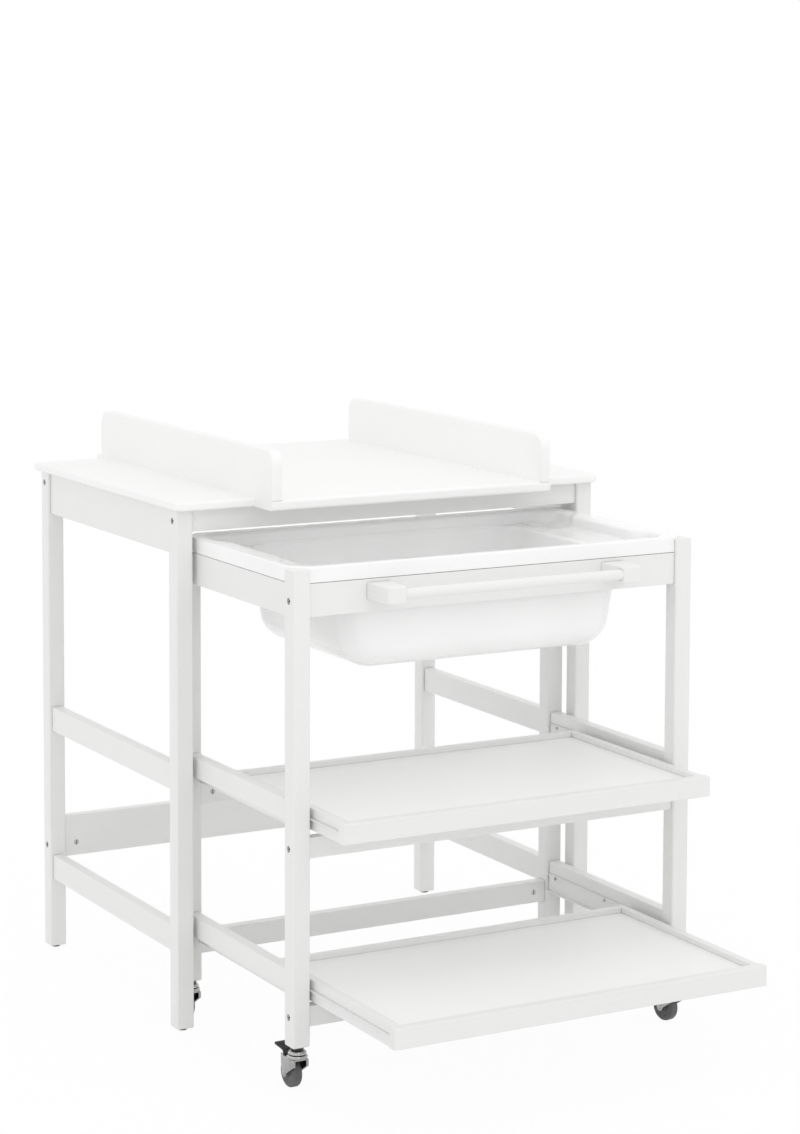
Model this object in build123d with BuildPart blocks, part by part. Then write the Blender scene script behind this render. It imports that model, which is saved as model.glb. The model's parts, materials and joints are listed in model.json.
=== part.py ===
from build123d import *
from math import cos, radians, sin
import os

# Changing table with a bath trolley and two pull-out shelves, in millimetres.
# X runs across the table, the front faces -Y, Z is up and the floor is at zero.
# The trolley and the shelves stand partly pulled out, which is the rest pose.

# Timber sections shared by the table and the trolley
leg_section = 32
leg_round = 3.5
leg_foot_round = 3
rail_thickness = 20
rail_inset = 6
rail_round = 1.5

# Outer table
table_width = 842
table_depth = 608
frame_height = 915
glide_height = 5
glide_radius = 9
glide_pin_radius = 2
glide_pin_length = 12
end_apron_height = 39
side_apron_height = 78
table_rail_height = 46
table_mid_rail_bottom = 422
table_low_rail_bottom = 136
rear_rail_height = 78
rear_rail_bottom = 175

# Worktops and the changing panel
worktop_thickness = 15
worktop_side_overhang = 7
worktop_end_overhang = 18
worktop_front_corner = 20
worktop_rear_corner = 4
worktop_nose = 4.5
panel_width = 558
panel_thickness = 18
panel_front_overhang = 84
panel_rear_overhang = 64
panel_nose = 5
side_board_thickness = 20
side_board_height = 86
side_board_rear_setback = 19
side_board_corner = 25
side_board_round = 3

# Bath trolley
trolley_side_clearance = 2
trolley_depth = 446
trolley_pulled_out = 374
trolley_top_gap = 54
trolley_apron_drop = 23
trolley_apron_height = 55
trolley_rail_height = 37
trolley_mid_rail_bottom = 444
trolley_low_rail_bottom = 161
front_rail_height = 35
front_mid_rail_bottom = 386
front_low_rail_bottom = 106
back_rail_height = 40
back_mid_rail_bottom = 388
back_low_rail_bottom = 121

# Bathtub
tub_wall = 3
rim_corner_cut = 26
rim_round = 1.2
tub_leg_clearance = 0.5
tray_clearance = 1
tray_end_rim = 37
tray_corner = 34
tray_bend = 7
ledge_drop = 24
basin_depth = 183
ledge_length = 86
basin_end_slope = 22
basin_top_margin = 3
basin_bottom_front_margin = 10
basin_bottom_back_margin = 4
basin_top_corner = 45
basin_bottom_corner = 48
basin_floor_round = 44
dish_inner_gap = 22
dish_corner = 14
dish_depth = 6
front_dish_length = 78
back_dish_length = 84

# Handle
handle_inset = 160
bracket_width = 36
bracket_root_width = 44
bracket_depth = 66
bracket_height = 28
bracket_drop = 57
bracket_front_round = 8
bracket_edge_round = 2.5
rod_radius = 9
rod_from_front = 12
rod_seat = 14
rod_fit = 0.08

# Pull-out shelves
shelf_depth = 424
shelf_height = 34
shelf_proud = 8
shelf_front_clearance = 1.5
shelf_front_thickness = 18
shelf_side_thickness = 14
shelf_lip = 9
shelf_floor_thickness = 10
shelf_groove = 5
shelf_round = 1.5
mid_shelf_bottom = 434
low_shelf_bottom = 149
mid_shelf_out = 104
low_shelf_out = 274

# Roller slides
slide_space = 13
slide_sheet = 1.2
track_drop = 5
track_height = 32
track_lip = 4
track_end_gap = 2
track_floor_width = 9
runner_height = 18
runner_reach = 6
runner_foot = 10
roller_radius = 6.5
roller_gap = 0.3
roller_from_end = 11
roller_pin_radius = 1.5
roller_side_gap = 0.4
screw_height = 21
screw_radius = 1.5
screw_length = 13
screw_head_radius = 3
screw_head_height = 1.4
screw_from_end = 22

# Bolts, barrel nuts and dowels
fit = 0.08
bolt_radius = 3
bolt_past_nut = 8
head_radius = 5
head_height = 4.5
head_recess = 6
head_room = 0.6
socket_radius = 2.3
socket_depth = 3
nut_radius = 5
nut_length = 15
nut_from_end = 24
nut_slot_width = 1.6
nut_slot_depth = 1.5
dowel_radius = 4
dowel_half_length = 18
dowel_end_room = 1
rear_bolt_above_bottom = 25
rear_dowel_above_bottom = 59
rail_dowel_shares = (0.25, 0.75)
side_apron_dowel_shares = (0.2, 0.5)

# Swivel casters
caster_height = 74
wheel_radius = 25
wheel_width = 17
wheel_round = 4.5
wheel_dish_radius = 14
wheel_dish_depth = 1.5
wheel_trail = 20
axle_radius = 3
axle_head_radius = 4.5
axle_head_height = 1.2
fork_gap = 25
fork_sheet = 2
fork_front = 13
fork_back = 24
fork_tip_radius = 7
fork_waist_height = 42
fork_plate_low = 51.5
fork_plate_high = 54
race_radius = 17.4
race_high = 61
race_round = 2
upper_race_radius = 15.5
upper_race_low = 61.3
upper_race_high = 68
collar_radius = 11
stem_radius = 5
stem_depth = 38
spindle_head_radius = 8
spindle_head_low = 48.6
spindle_head_gap = 0.3
front_left_turn = -1
front_right_turn = -8
rear_left_turn = -3
rear_right_turn = 3

# Brake levers on the two front casters
lever_along = 28
lever_height = 54
lever_hub_radius = 3.2
lever_nub_radius = 0.8
lever_nub_reach = 3.9
lever_pin_radius = 1.5
lever_width = 22
lever_play = 0.5
pedal_width = 30
pedal_thickness = 3
pedal_start_along = 33
pedal_start_height = 58
pedal_end_along = 55
pedal_end_height = 66

# Overrun of every through cut
overrun = 2

# Places that follow from the sizes above
table_half = table_width / 2
panel_front = -(table_depth / 2 + panel_front_overhang)
panel_rear = table_depth / 2 + panel_rear_overhang
trolley_half = table_half - leg_section - trolley_side_clearance
low_shelf_front = -(table_depth / 2 + trolley_pulled_out + shelf_proud + low_shelf_out)
table_middle = -(panel_rear + low_shelf_front) / 2
table_front = table_middle - table_depth / 2
table_back = table_middle + table_depth / 2
trolley_front = table_front - trolley_pulled_out
trolley_back = trolley_front + trolley_depth
trolley_leg_top = frame_height - trolley_top_gap
trolley_apron_top = trolley_leg_top - trolley_apron_drop
trolley_apron_bottom = trolley_apron_top - trolley_apron_height
leg_half = leg_section / 2
side_rail_high = trolley_half - rail_inset
side_rail_low = side_rail_high - rail_thickness

os.makedirs("parts", exist_ok=True)


def keep(builder, name):
    """Label a finished piece and write its file."""
    builder.part.label = name
    export_step(builder.part, f"parts/{name}.step")


def block(low, high):
    """Add a block between two corners to the piece in work."""
    with BuildSketch(Plane.XY.offset(low[2])) as base:
        with Locations(((low[0] + high[0]) / 2, (low[1] + high[1]) / 2)):
            Rectangle(high[0] - low[0], high[1] - low[1])
    extrude(base.sketch, amount=high[2] - low[2])


def bore(mouth, direction, radius, depth):
    """Cut a round hole from its mouth along a direction."""
    with BuildSketch(Plane(origin=mouth, z_dir=direction)) as round_end:
        Circle(radius)
    extrude(round_end.sketch, amount=depth, mode=Mode.SUBTRACT)


def pin(start, direction, radius, length):
    """Add a round pin from its start along a direction."""
    with BuildSketch(Plane(origin=start, z_dir=direction)) as round_end:
        Circle(radius)
    extrude(round_end.sketch, amount=length)


class BoltedJoint:
    """A bolt through a leg into a barrel nut in the end of a cross rail."""

    def __init__(self, outer_half, rail_front, opens_back, height):
        self.outer_half = outer_half
        self.middle_y = rail_front + rail_thickness / 2
        self.nut_mouth = rail_front + rail_thickness if opens_back else rail_front
        self.nut_way = -1 if opens_back else 1
        self.height = height

    def leg_bore(self, side):
        """Cut the recess and the shank hole through the leg."""
        face = side * self.outer_half
        bore((face, self.middle_y, self.height), (-side, 0, 0), head_radius + head_room, head_recess)
        bore((face, self.middle_y, self.height), (-side, 0, 0), bolt_radius + fit, leg_section + overrun)

    def rail_bore(self, side):
        """Cut the shank hole and the nut hole in the rail's end."""
        rail_end = side * (self.outer_half - leg_section)
        nut_x = rail_end - side * nut_from_end
        reach = nut_from_end + bolt_past_nut + dowel_end_room
        bore((rail_end, self.middle_y, self.height), (-side, 0, 0), bolt_radius + fit, reach)
        bore((nut_x, self.nut_mouth, self.height), (0, self.nut_way, 0), nut_radius + fit, nut_length + fit)

    def bolt(self, side):
        """Add the bolt: a socket head and its shank."""
        under_head = side * (self.outer_half - head_recess)
        shank = leg_section - head_recess + nut_from_end + bolt_past_nut
        pin((under_head, self.middle_y, self.height), (side, 0, 0), head_radius, head_height)
        pin((under_head, self.middle_y, self.height), (-side, 0, 0), bolt_radius, shank)
        top = under_head + side * head_height
        with BuildSketch(Plane(origin=(top, self.middle_y, self.height), z_dir=(-side, 0, 0))) as socket:
            RegularPolygon(socket_radius, 6)
        extrude(socket.sketch, amount=socket_depth, mode=Mode.SUBTRACT)

    def nut(self, side):
        """Add the barrel nut with its cross hole and its screwdriver slot."""
        nut_x = side * (self.outer_half - leg_section - nut_from_end)
        mouth = (nut_x, self.nut_mouth, self.height)
        pin(mouth, (0, self.nut_way, 0), nut_radius, nut_length)
        hole_start = (nut_x + side * (nut_radius + overrun), self.middle_y, self.height)
        bore(hole_start, (-side, 0, 0), bolt_radius + fit, (nut_radius + overrun) * 2)
        with BuildSketch(Plane(origin=mouth, z_dir=(0, self.nut_way, 0))) as slot:
            Rectangle(nut_radius * 2, nut_slot_width)
        extrude(slot.sketch, amount=nut_slot_depth, mode=Mode.SUBTRACT)


def dowel_bores(x, face_y, way, heights):
    """Cut the dowel holes of one end joint, from the joint face along Y."""
    for height in heights:
        bore((x, face_y, height), (0, way, 0), dowel_radius + fit, dowel_half_length + dowel_end_room)


def rail_dowel_heights(bottom, height, shares):
    """Heights of the dowels in the end of a rail."""
    return [bottom + share * height for share in shares]


# Frame joints of the table and of the trolley
end_apron_bottom = frame_height - end_apron_height
side_apron_bottom = frame_height - side_apron_height
front_member = table_front + rail_inset
back_member = table_back - rail_inset - rail_thickness
front_apron_joint = BoltedJoint(table_half, front_member, True, end_apron_bottom + end_apron_height / 2)
rear_apron_joint = BoltedJoint(table_half, back_member, False, end_apron_bottom + end_apron_height / 2)
rear_rail_joint = BoltedJoint(table_half, back_member, False, rear_rail_bottom + rear_bolt_above_bottom)
rear_dowel_height = rear_rail_bottom + rear_dowel_above_bottom
table_front_joints = [front_apron_joint]
table_back_joints = [rear_apron_joint, rear_rail_joint]

side_apron_dowels = rail_dowel_heights(side_apron_bottom, side_apron_height, side_apron_dowel_shares)
table_mid_dowels = rail_dowel_heights(table_mid_rail_bottom, table_rail_height, rail_dowel_shares)
table_low_dowels = rail_dowel_heights(table_low_rail_bottom, table_rail_height, rail_dowel_shares)
table_dowel_heights = side_apron_dowels + table_mid_dowels + table_low_dowels

trolley_front_member = trolley_front + rail_inset
trolley_back_member = trolley_back - rail_inset - rail_thickness
trolley_front_sections = (
    ("apron", trolley_apron_bottom, trolley_apron_height),
    ("mid_rail", front_mid_rail_bottom, front_rail_height),
    ("low_rail", front_low_rail_bottom, front_rail_height),
)
trolley_back_sections = (
    ("apron", trolley_apron_bottom, trolley_apron_height),
    ("mid_rail", back_mid_rail_bottom, back_rail_height),
    ("low_rail", back_low_rail_bottom, back_rail_height),
)
trolley_front_joints = [
    BoltedJoint(trolley_half, trolley_front_member, True, bottom + height / 2)
    for kind, bottom, height in trolley_front_sections
]
trolley_back_joints = [
    BoltedJoint(trolley_half, trolley_back_member, False, bottom + height / 2)
    for kind, bottom, height in trolley_back_sections
]
trolley_apron_dowels = rail_dowel_heights(trolley_apron_bottom, trolley_apron_height, rail_dowel_shares)
trolley_mid_dowels = rail_dowel_heights(trolley_mid_rail_bottom, trolley_rail_height, rail_dowel_shares)
trolley_low_dowels = rail_dowel_heights(trolley_low_rail_bottom, trolley_rail_height, rail_dowel_shares)
trolley_dowel_heights = trolley_apron_dowels + trolley_mid_dowels + trolley_low_dowels


def leg(outer_x, side, end_y, end, bottom, top):
    """Add a square leg whose outer corner stands at a side and an end."""
    inner_x = outer_x - side * leg_section
    inner_y = end_y - end * leg_section
    block(
        (min(outer_x, inner_x), min(end_y, inner_y), bottom),
        (max(outer_x, inner_x), max(end_y, inner_y), top),
    )


def round_leg(builder):
    """Round the long edges and the bottom edges of a leg."""
    fillet(builder.edges().filter_by(Axis.Z), leg_round)
    fillet(builder.faces().sort_by(Axis.Z)[0].edges(), leg_foot_round)


# Table legs
for end_name, end, end_y in (("front", -1, table_front), ("rear", 1, table_back)):
    for side_name, side in (("left", -1), ("right", 1)):
        with BuildPart() as table_leg:
            leg(side * table_half, side, end_y, end, glide_height, frame_height)
            round_leg(table_leg)
            middle_x = side * (table_half - leg_half)
            middle_y = end_y - end * leg_half
            for joint in table_front_joints if end < 0 else table_back_joints:
                joint.leg_bore(side)
            dowel_bores(middle_x, end_y - end * leg_section, end, table_dowel_heights)
            bore((middle_x, middle_y, glide_height), (0, 0, 1), glide_pin_radius + fit, glide_pin_length)
            if end > 0:
                bore(
                    (side * (table_half - leg_section), rear_rail_joint.middle_y, rear_dowel_height),
                    (side, 0, 0),
                    dowel_radius + fit,
                    dowel_half_length + dowel_end_room,
                )
        keep(table_leg, f"table_leg_{end_name}_{side_name}")


def side_rails(half, front, back, bottom, height):
    """Add a rail on each side between the front and the rear leg."""
    for side in (-1, 1):
        outer_x = side * (half - rail_inset)
        inner_x = outer_x - side * rail_thickness
        block(
            (min(outer_x, inner_x), front + leg_section, bottom),
            (max(outer_x, inner_x), back - leg_section, bottom + height),
        )


def drill_side_rails(half, front, back, dowels):
    """Cut the dowel holes in both ends of a pair of side rails."""
    for side in (-1, 1):
        middle_x = side * (half - rail_inset - rail_thickness / 2)
        dowel_bores(middle_x, front + leg_section, 1, dowels)
        dowel_bores(middle_x, back - leg_section, -1, dowels)


# Side aprons and side rails of the table
for name, bottom, height, dowels in (
    ("table_side_aprons", side_apron_bottom, side_apron_height, side_apron_dowels),
    ("table_mid_side_rails", table_mid_rail_bottom, table_rail_height, table_mid_dowels),
    ("table_low_side_rails", table_low_rail_bottom, table_rail_height, table_low_dowels),
):
    with BuildPart() as table_rails:
        side_rails(table_half, table_front, table_back, bottom, height)
        fillet(table_rails.edges().filter_by(Axis.Y), rail_round)
        drill_side_rails(table_half, table_front, table_back, dowels)
    keep(table_rails, name)


def cross_rail(builder, half, front_y, bottom, height):
    """Add a rail between the left and the right leg and round its long edges."""
    reach = half - leg_section
    block((-reach, front_y, bottom), (reach, front_y + rail_thickness, bottom + height))
    fillet(builder.edges().filter_by(Axis.X), rail_round)


# Front and rear apron and rear rail of the table
for name, joint, bottom, height, front_y in (
    ("table_front_apron", front_apron_joint, end_apron_bottom, end_apron_height, front_member),
    ("table_rear_apron", rear_apron_joint, end_apron_bottom, end_apron_height, back_member),
    ("table_rear_rail", rear_rail_joint, rear_rail_bottom, rear_rail_height, back_member),
):
    with BuildPart() as table_cross:
        cross_rail(table_cross, table_half, front_y, bottom, height)
        for side in (-1, 1):
            joint.rail_bore(side)
            if joint is rear_rail_joint:
                bore(
                    (side * (table_half - leg_section), joint.middle_y, rear_dowel_height),
                    (-side, 0, 0),
                    dowel_radius + fit,
                    dowel_half_length + dowel_end_room,
                )
    keep(table_cross, name)

# Worktops left and right of the changing panel
for side_name, side in (("left", -1), ("right", 1)):
    outer_x = side * (table_half + worktop_side_overhang)
    inner_x = side * panel_width / 2
    worktop_front = table_front - worktop_end_overhang
    worktop_back = table_back + worktop_end_overhang
    with BuildPart() as worktop:
        with BuildSketch(Plane.XY.offset(frame_height)) as outline:
            with Locations(((outer_x + inner_x) / 2, (worktop_front + worktop_back) / 2)):
                Rectangle(abs(outer_x - inner_x), worktop_back - worktop_front)
            outer_corners = outline.vertices().group_by(Axis.X)[0 if side < 0 else -1].sort_by(Axis.Y)
            fillet(outer_corners[0], worktop_front_corner)
            outer_corners = outline.vertices().group_by(Axis.X)[0 if side < 0 else -1].sort_by(Axis.Y)
            fillet(outer_corners[-1], worktop_rear_corner)
        extrude(amount=worktop_thickness)
        nose_edges = worktop.edges().filter_by(Axis.Z, reverse=True)
        nose_edges = nose_edges.filter_by(lambda edge: abs(edge.center().X - inner_x) > worktop_nose)
        top_edges = nose_edges.group_by(Axis.Z)[-1]
        fillet(top_edges, worktop_nose)
        low_edges = worktop.faces().sort_by(Axis.Z)[0].edges()
        low_edges = low_edges.filter_by(lambda edge: abs(edge.center().X - inner_x) > worktop_nose)
        fillet(low_edges, worktop_nose)
    keep(worktop, f"worktop_{side_name}")

# Changing panel that lies between the worktops and stands out at front and rear
with BuildPart() as changing_panel:
    block(
        (-panel_width / 2, table_middle + panel_front, frame_height),
        (panel_width / 2, table_middle + panel_rear, frame_height + panel_thickness),
    )
    end_edges = changing_panel.edges().filter_by(Axis.X)
    fillet(end_edges, panel_nose)
keep(changing_panel, "changing_panel")

# Side boards on the changing panel
panel_top = frame_height + panel_thickness
for side_name, side in (("left", -1), ("right", 1)):
    outer_x = side * panel_width / 2
    board_front = table_middle + panel_front
    board_back = table_middle + panel_rear - side_board_rear_setback
    with BuildPart() as side_board:
        with BuildSketch(Plane.YZ.offset(min(outer_x, outer_x - side * side_board_thickness))) as outline:
            with Locations(((board_front + board_back) / 2, panel_top + side_board_height / 2)):
                Rectangle(board_back - board_front, side_board_height)
            fillet(outline.vertices().group_by(Axis.Y)[-1], side_board_corner)
        extrude(amount=side_board_thickness)
        inner_and_outer = side_board.faces().filter_by(Axis.X).edges()
        upper_edges = inner_and_outer.filter_by(lambda edge: edge.center().Z > panel_top + side_board_round)
        fillet(upper_edges, side_board_round)
    keep(side_board, f"side_board_{side_name}")

# Bolts and barrel nuts
for owner, joints in (
    ("table", table_front_joints + table_back_joints),
    ("trolley", trolley_front_joints + trolley_back_joints),
):
    with BuildPart() as bolts:
        for joint in joints:
            for side in (-1, 1):
                joint.bolt(side)
    keep(bolts, f"{owner}_bolts")
    with BuildPart() as barrel_nuts:
        for joint in joints:
            for side in (-1, 1):
                joint.nut(side)
    keep(barrel_nuts, f"{owner}_barrel_nuts")

# Wooden dowels in the ends of the side rails
for owner, half, front, back, heights in (
    ("table", table_half, table_front, table_back, table_dowel_heights),
    ("trolley", trolley_half, trolley_front, trolley_back, trolley_dowel_heights),
):
    with BuildPart() as dowels:
        for side in (-1, 1):
            middle_x = side * (half - rail_inset - rail_thickness / 2)
            for face_y in (front + leg_section, back - leg_section):
                for height in heights:
                    start = (middle_x, face_y - dowel_half_length, height)
                    pin(start, (0, 1, 0), dowel_radius, dowel_half_length * 2)
            if owner == "table":
                start_x = side * (half - leg_section) - side * dowel_half_length
                pin(
                    (start_x, rear_rail_joint.middle_y, rear_dowel_height),
                    (side, 0, 0),
                    dowel_radius,
                    dowel_half_length * 2,
                )
    keep(dowels, f"{owner}_dowels")

# Foot glides under the table legs
with BuildPart() as foot_glides:
    for side in (-1, 1):
        for foot_y in (table_front + leg_half, table_back - leg_half):
            foot_x = side * (table_half - leg_half)
            pin((foot_x, foot_y, 0), (0, 0, 1), glide_radius, glide_height)
            pin((foot_x, foot_y, glide_height), (0, 0, 1), glide_pin_radius, glide_pin_length - fit)
keep(foot_glides, "foot_glides")

# Trolley legs
for end_name, end, end_y in (("front", -1, trolley_front), ("rear", 1, trolley_back)):
    for side_name, side in (("left", -1), ("right", 1)):
        with BuildPart() as trolley_leg:
            leg(side * trolley_half, side, end_y, end, caster_height, trolley_leg_top)
            round_leg(trolley_leg)
            middle_x = side * (trolley_half - leg_half)
            middle_y = end_y - end * leg_half
            for joint in trolley_front_joints if end < 0 else trolley_back_joints:
                joint.leg_bore(side)
            dowel_bores(middle_x, end_y - end * leg_section, end, trolley_dowel_heights)
            stem_mouth = (middle_x, middle_y, caster_height)
            bore(stem_mouth, (0, 0, 1), stem_radius + fit, stem_depth + dowel_end_room)
        keep(trolley_leg, f"trolley_leg_{end_name}_{side_name}")

# Shelf levels: name, underside, how far it stands out
shelf_levels = (
    ("mid", mid_shelf_bottom, mid_shelf_out),
    ("low", low_shelf_bottom, low_shelf_out),
)
track_face = side_rail_low
track_front = trolley_front + leg_section + track_end_gap
track_back = trolley_back - leg_section - track_end_gap
track_middle = (track_front + track_back) / 2
track_screw_places = (track_front + screw_from_end, track_middle, track_back - screw_from_end)


def track_screw_bores(shelf_bottom):
    """Cut the pilot holes of the track screws into the side rails."""
    for side in (-1, 1):
        for screw_y in track_screw_places:
            mouth = (side * track_face, screw_y, shelf_bottom + screw_height)
            bore(mouth, (side, 0, 0), screw_radius + fit, screw_length)


# Side aprons and side rails of the trolley
for kind, bottom, height, dowels, shelf_bottom in (
    ("side_aprons", trolley_apron_bottom, trolley_apron_height, trolley_apron_dowels, None),
    ("mid_side_rails", trolley_mid_rail_bottom, trolley_rail_height, trolley_mid_dowels, mid_shelf_bottom),
    ("low_side_rails", trolley_low_rail_bottom, trolley_rail_height, trolley_low_dowels, low_shelf_bottom),
):
    with BuildPart() as trolley_rails:
        side_rails(trolley_half, trolley_front, trolley_back, bottom, height)
        fillet(trolley_rails.edges().filter_by(Axis.Y), rail_round)
        drill_side_rails(trolley_half, trolley_front, trolley_back, dowels)
        if shelf_bottom is not None:
            track_screw_bores(shelf_bottom)
    keep(trolley_rails, f"trolley_{kind}")

# Cross rails and end aprons of the trolley
for end_name, front_y, joints, sections in (
    ("front", trolley_front_member, trolley_front_joints, trolley_front_sections),
    ("rear", trolley_back_member, trolley_back_joints, trolley_back_sections),
):
    for joint, (kind, bottom, height) in zip(joints, sections):
        with BuildPart() as trolley_cross:
            cross_rail(trolley_cross, trolley_half, front_y, bottom, height)
            for side in (-1, 1):
                joint.rail_bore(side)
        keep(trolley_cross, f"trolley_{end_name}_{kind}")

# Bathtub: a rim with a skirt that rests on the aprons, end ledges and a deep basin
rim_half = side_rail_high
rim_front = trolley_front_member
rim_back = trolley_back_member + rail_thickness
rim_middle = (rim_front + rim_back) / 2
tray_half = side_rail_low - tray_clearance
waist_half = rim_half - tray_end_rim
tray_front = trolley_front_member + rail_thickness + tray_clearance
tray_back = trolley_back_member - tray_clearance
rim_top = trolley_leg_top + tub_wall
ledge_top = rim_top - ledge_drop
ledge_under = ledge_top - tub_wall
basin_bottom = trolley_leg_top - basin_depth
basin_top_half_length = tray_half - ledge_length
basin_bottom_half_length = basin_top_half_length - basin_end_slope
dish_inner = basin_top_half_length + dish_inner_gap


def tub_outline(height, half_length, front, back, corner):
    """Return a rounded rectangle of the tub at a height."""
    with BuildSketch(Plane.XY.offset(height)) as outline:
        with Locations((0, (front + back) / 2)):
            RectangleRounded(half_length * 2, back - front, corner)
    return outline.sketch


def tray_outline(height, shrink):
    """Return the tray's outline at a height: wide over the corner dishes, drawn in between them."""
    front = tray_front + shrink
    back = tray_back - shrink
    with BuildSketch(Plane.XY.offset(height)) as outline:
        with Locations((0, (front + back) / 2)):
            Rectangle((waist_half - shrink) * 2, back - front)
        for low, high in (
            (front, tray_front + front_dish_length - shrink),
            (tray_back - back_dish_length + shrink, back),
        ):
            with Locations((0, (low + high) / 2)):
                Rectangle((tray_half - shrink) * 2, high - low)
        ends = outline.vertices().filter_by(
            lambda vertex: abs(vertex.Y - front) < tub_wall or abs(vertex.Y - back) < tub_wall
        )
        fillet(ends, tray_corner - shrink)
        middle = (front + back) / 2
        reach = (back - front) / 2 - tray_corner - tub_wall
        bends = outline.vertices().filter_by(lambda vertex: abs(vertex.Y - middle) < reach)
        fillet(bends, tray_bend)
    return outline.sketch


def dishes(height, grow):
    """Return the outlines of the four soap dishes in the corners of the ledges."""
    outer = tray_half - tub_wall * 2 + grow
    inner = dish_inner - grow
    with BuildSketch(Plane.XY.offset(height)) as outline:
        for side in (-1, 1):
            for low, high in (
                (tray_front + tub_wall * 2, tray_front + front_dish_length - tub_wall),
                (tray_back - back_dish_length + tub_wall, tray_back - tub_wall * 2),
            ):
                with Locations((side * (outer + inner) / 2, (low + high) / 2)):
                    RectangleRounded(outer - inner, high - low + grow * 2, dish_corner + grow)
    return outline.sketch


def basin(shrink, bottom, top, floor_round):
    """Return the basin's solid, made smaller by the wall where asked."""
    sections = []
    bottom_margins = (basin_bottom_front_margin, basin_bottom_back_margin)
    top_margins = (basin_top_margin, basin_top_margin)
    for height, half_length, margins, corner in (
        (bottom, basin_bottom_half_length, bottom_margins, basin_bottom_corner),
        (top, basin_top_half_length, top_margins, basin_top_corner),
    ):
        front = tray_front + margins[0] + shrink
        back = tray_back - margins[1] - shrink
        sections.append(tub_outline(height, half_length - shrink, front, back, corner - shrink))
    with BuildPart() as form:
        loft(sections, ruled=True)
        fillet(form.faces().sort_by(Axis.Z)[0].edges(), floor_round)
    return form.part


basin_outside = basin(0, basin_bottom, ledge_under + tub_wall / 2, basin_floor_round)
basin_inside = basin(tub_wall, basin_bottom + tub_wall, ledge_top + overrun, basin_floor_round - tub_wall)

with BuildPart() as bathtub:
    with BuildSketch(Plane.XY.offset(trolley_leg_top)) as rim_outline:
        with Locations((0, rim_middle)):
            Rectangle(rim_half * 2, rim_back - rim_front)
        chamfer(rim_outline.vertices(), rim_corner_cut)
    extrude(amount=tub_wall)
    with BuildSketch(Plane.XY.offset(trolley_apron_top)):
        with Locations((0, rim_middle)):
            Rectangle(rim_half * 2, rim_back - rim_front)
            Rectangle((rim_half - tub_wall) * 2, rim_back - rim_front - tub_wall * 2, mode=Mode.SUBTRACT)
    extrude(amount=trolley_leg_top - trolley_apron_top)
    with BuildSketch(Plane.XY.offset(trolley_apron_top)):
        leg_room = leg_section + tub_leg_clearance
        for side in (-1, 1):
            for corner_y in (trolley_front + leg_room / 2, trolley_back - leg_room / 2):
                with Locations((side * (trolley_half - leg_room / 2), corner_y)):
                    Rectangle(leg_room, leg_room)
    extrude(amount=trolley_leg_top - trolley_apron_top, mode=Mode.SUBTRACT)
    extrude(tray_outline(ledge_under, 0), amount=trolley_leg_top - ledge_under)
    extrude(dishes(ledge_under - dish_depth, tub_wall), amount=dish_depth)
    add(basin_outside)
    extrude(tray_outline(ledge_top, tub_wall), amount=ledge_drop, mode=Mode.SUBTRACT)
    extrude(dishes(ledge_top - dish_depth, 0), amount=dish_depth, mode=Mode.SUBTRACT)
    add(basin_inside, mode=Mode.SUBTRACT)
    fillet(bathtub.faces().sort_by(Axis.Z)[-1].edges(), rim_round)
keep(bathtub, "bathtub")

# Handle: two blocks on the front apron and a round rod between them
bracket_back = trolley_front_member
bracket_front = bracket_back - bracket_depth
bracket_bottom = trolley_leg_top - bracket_drop
bracket_top = bracket_bottom + bracket_height
handle_spacing = (trolley_half - handle_inset) * 2
rod_y = bracket_front + rod_from_front
rod_z = bracket_bottom + bracket_height / 2
rod_half = (handle_spacing - bracket_width) / 2 + rod_seat
with BuildPart() as handle_brackets:
    for side in (-1, 1):
        middle_x = side * handle_spacing / 2
        with BuildSketch(Plane.XY.offset(bracket_bottom)):
            with BuildLine():
                Polyline(
                    (middle_x - bracket_root_width / 2, bracket_back),
                    (middle_x - bracket_width / 2, bracket_front),
                    (middle_x + bracket_width / 2, bracket_front),
                    (middle_x + bracket_root_width / 2, bracket_back),
                    close=True,
                )
            make_face()
        extrude(amount=bracket_height)
    front_edges = handle_brackets.edges().filter_by(Axis.Z).group_by(Axis.Y)[0]
    fillet(front_edges, bracket_front_round)
    level_edges = handle_brackets.edges().filter_by(
        lambda edge: edge.center().Y < bracket_back - bracket_edge_round
        and min(edge.center().Z - bracket_bottom, bracket_top - edge.center().Z) < bracket_edge_round / 2
    )
    fillet(level_edges, bracket_edge_round)
    for side in (-1, 1):
        middle_x = side * handle_spacing / 2
        rod_end = side * (rod_half + rod_fit)
        bore((rod_end, rod_y, rod_z), (-side, 0, 0), rod_radius + rod_fit, bracket_width)
keep(handle_brackets, "handle_brackets")

with BuildPart() as handle_rod:
    pin((-rod_half, rod_y, rod_z), (1, 0, 0), rod_radius, rod_half * 2)
keep(handle_rod, "handle_rod")

# Roller slides: fixed tracks on the side rails, with their rollers and screws
runner_face = side_rail_low - slide_space
track_inner = track_face - slide_sheet
runner_out = runner_face + runner_reach
roller_low = runner_face + slide_sheet + roller_side_gap
roller_width = track_inner - roller_low - roller_side_gap
track_roller_y = track_front + roller_from_end


def sheet(side, x_low, x_high, y_low, y_high, z_low, z_high):
    """Add a strip of sheet on one side, with its X given from the middle outwards."""
    block(
        (min(side * x_low, side * x_high), y_low, z_low),
        (max(side * x_low, side * x_high), y_high, z_high),
    )


def track_roller_height(shelf_bottom):
    """Height of the fixed roller, just under the runner's upper flange."""
    return shelf_bottom + runner_height - slide_sheet - roller_gap - roller_radius


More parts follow.
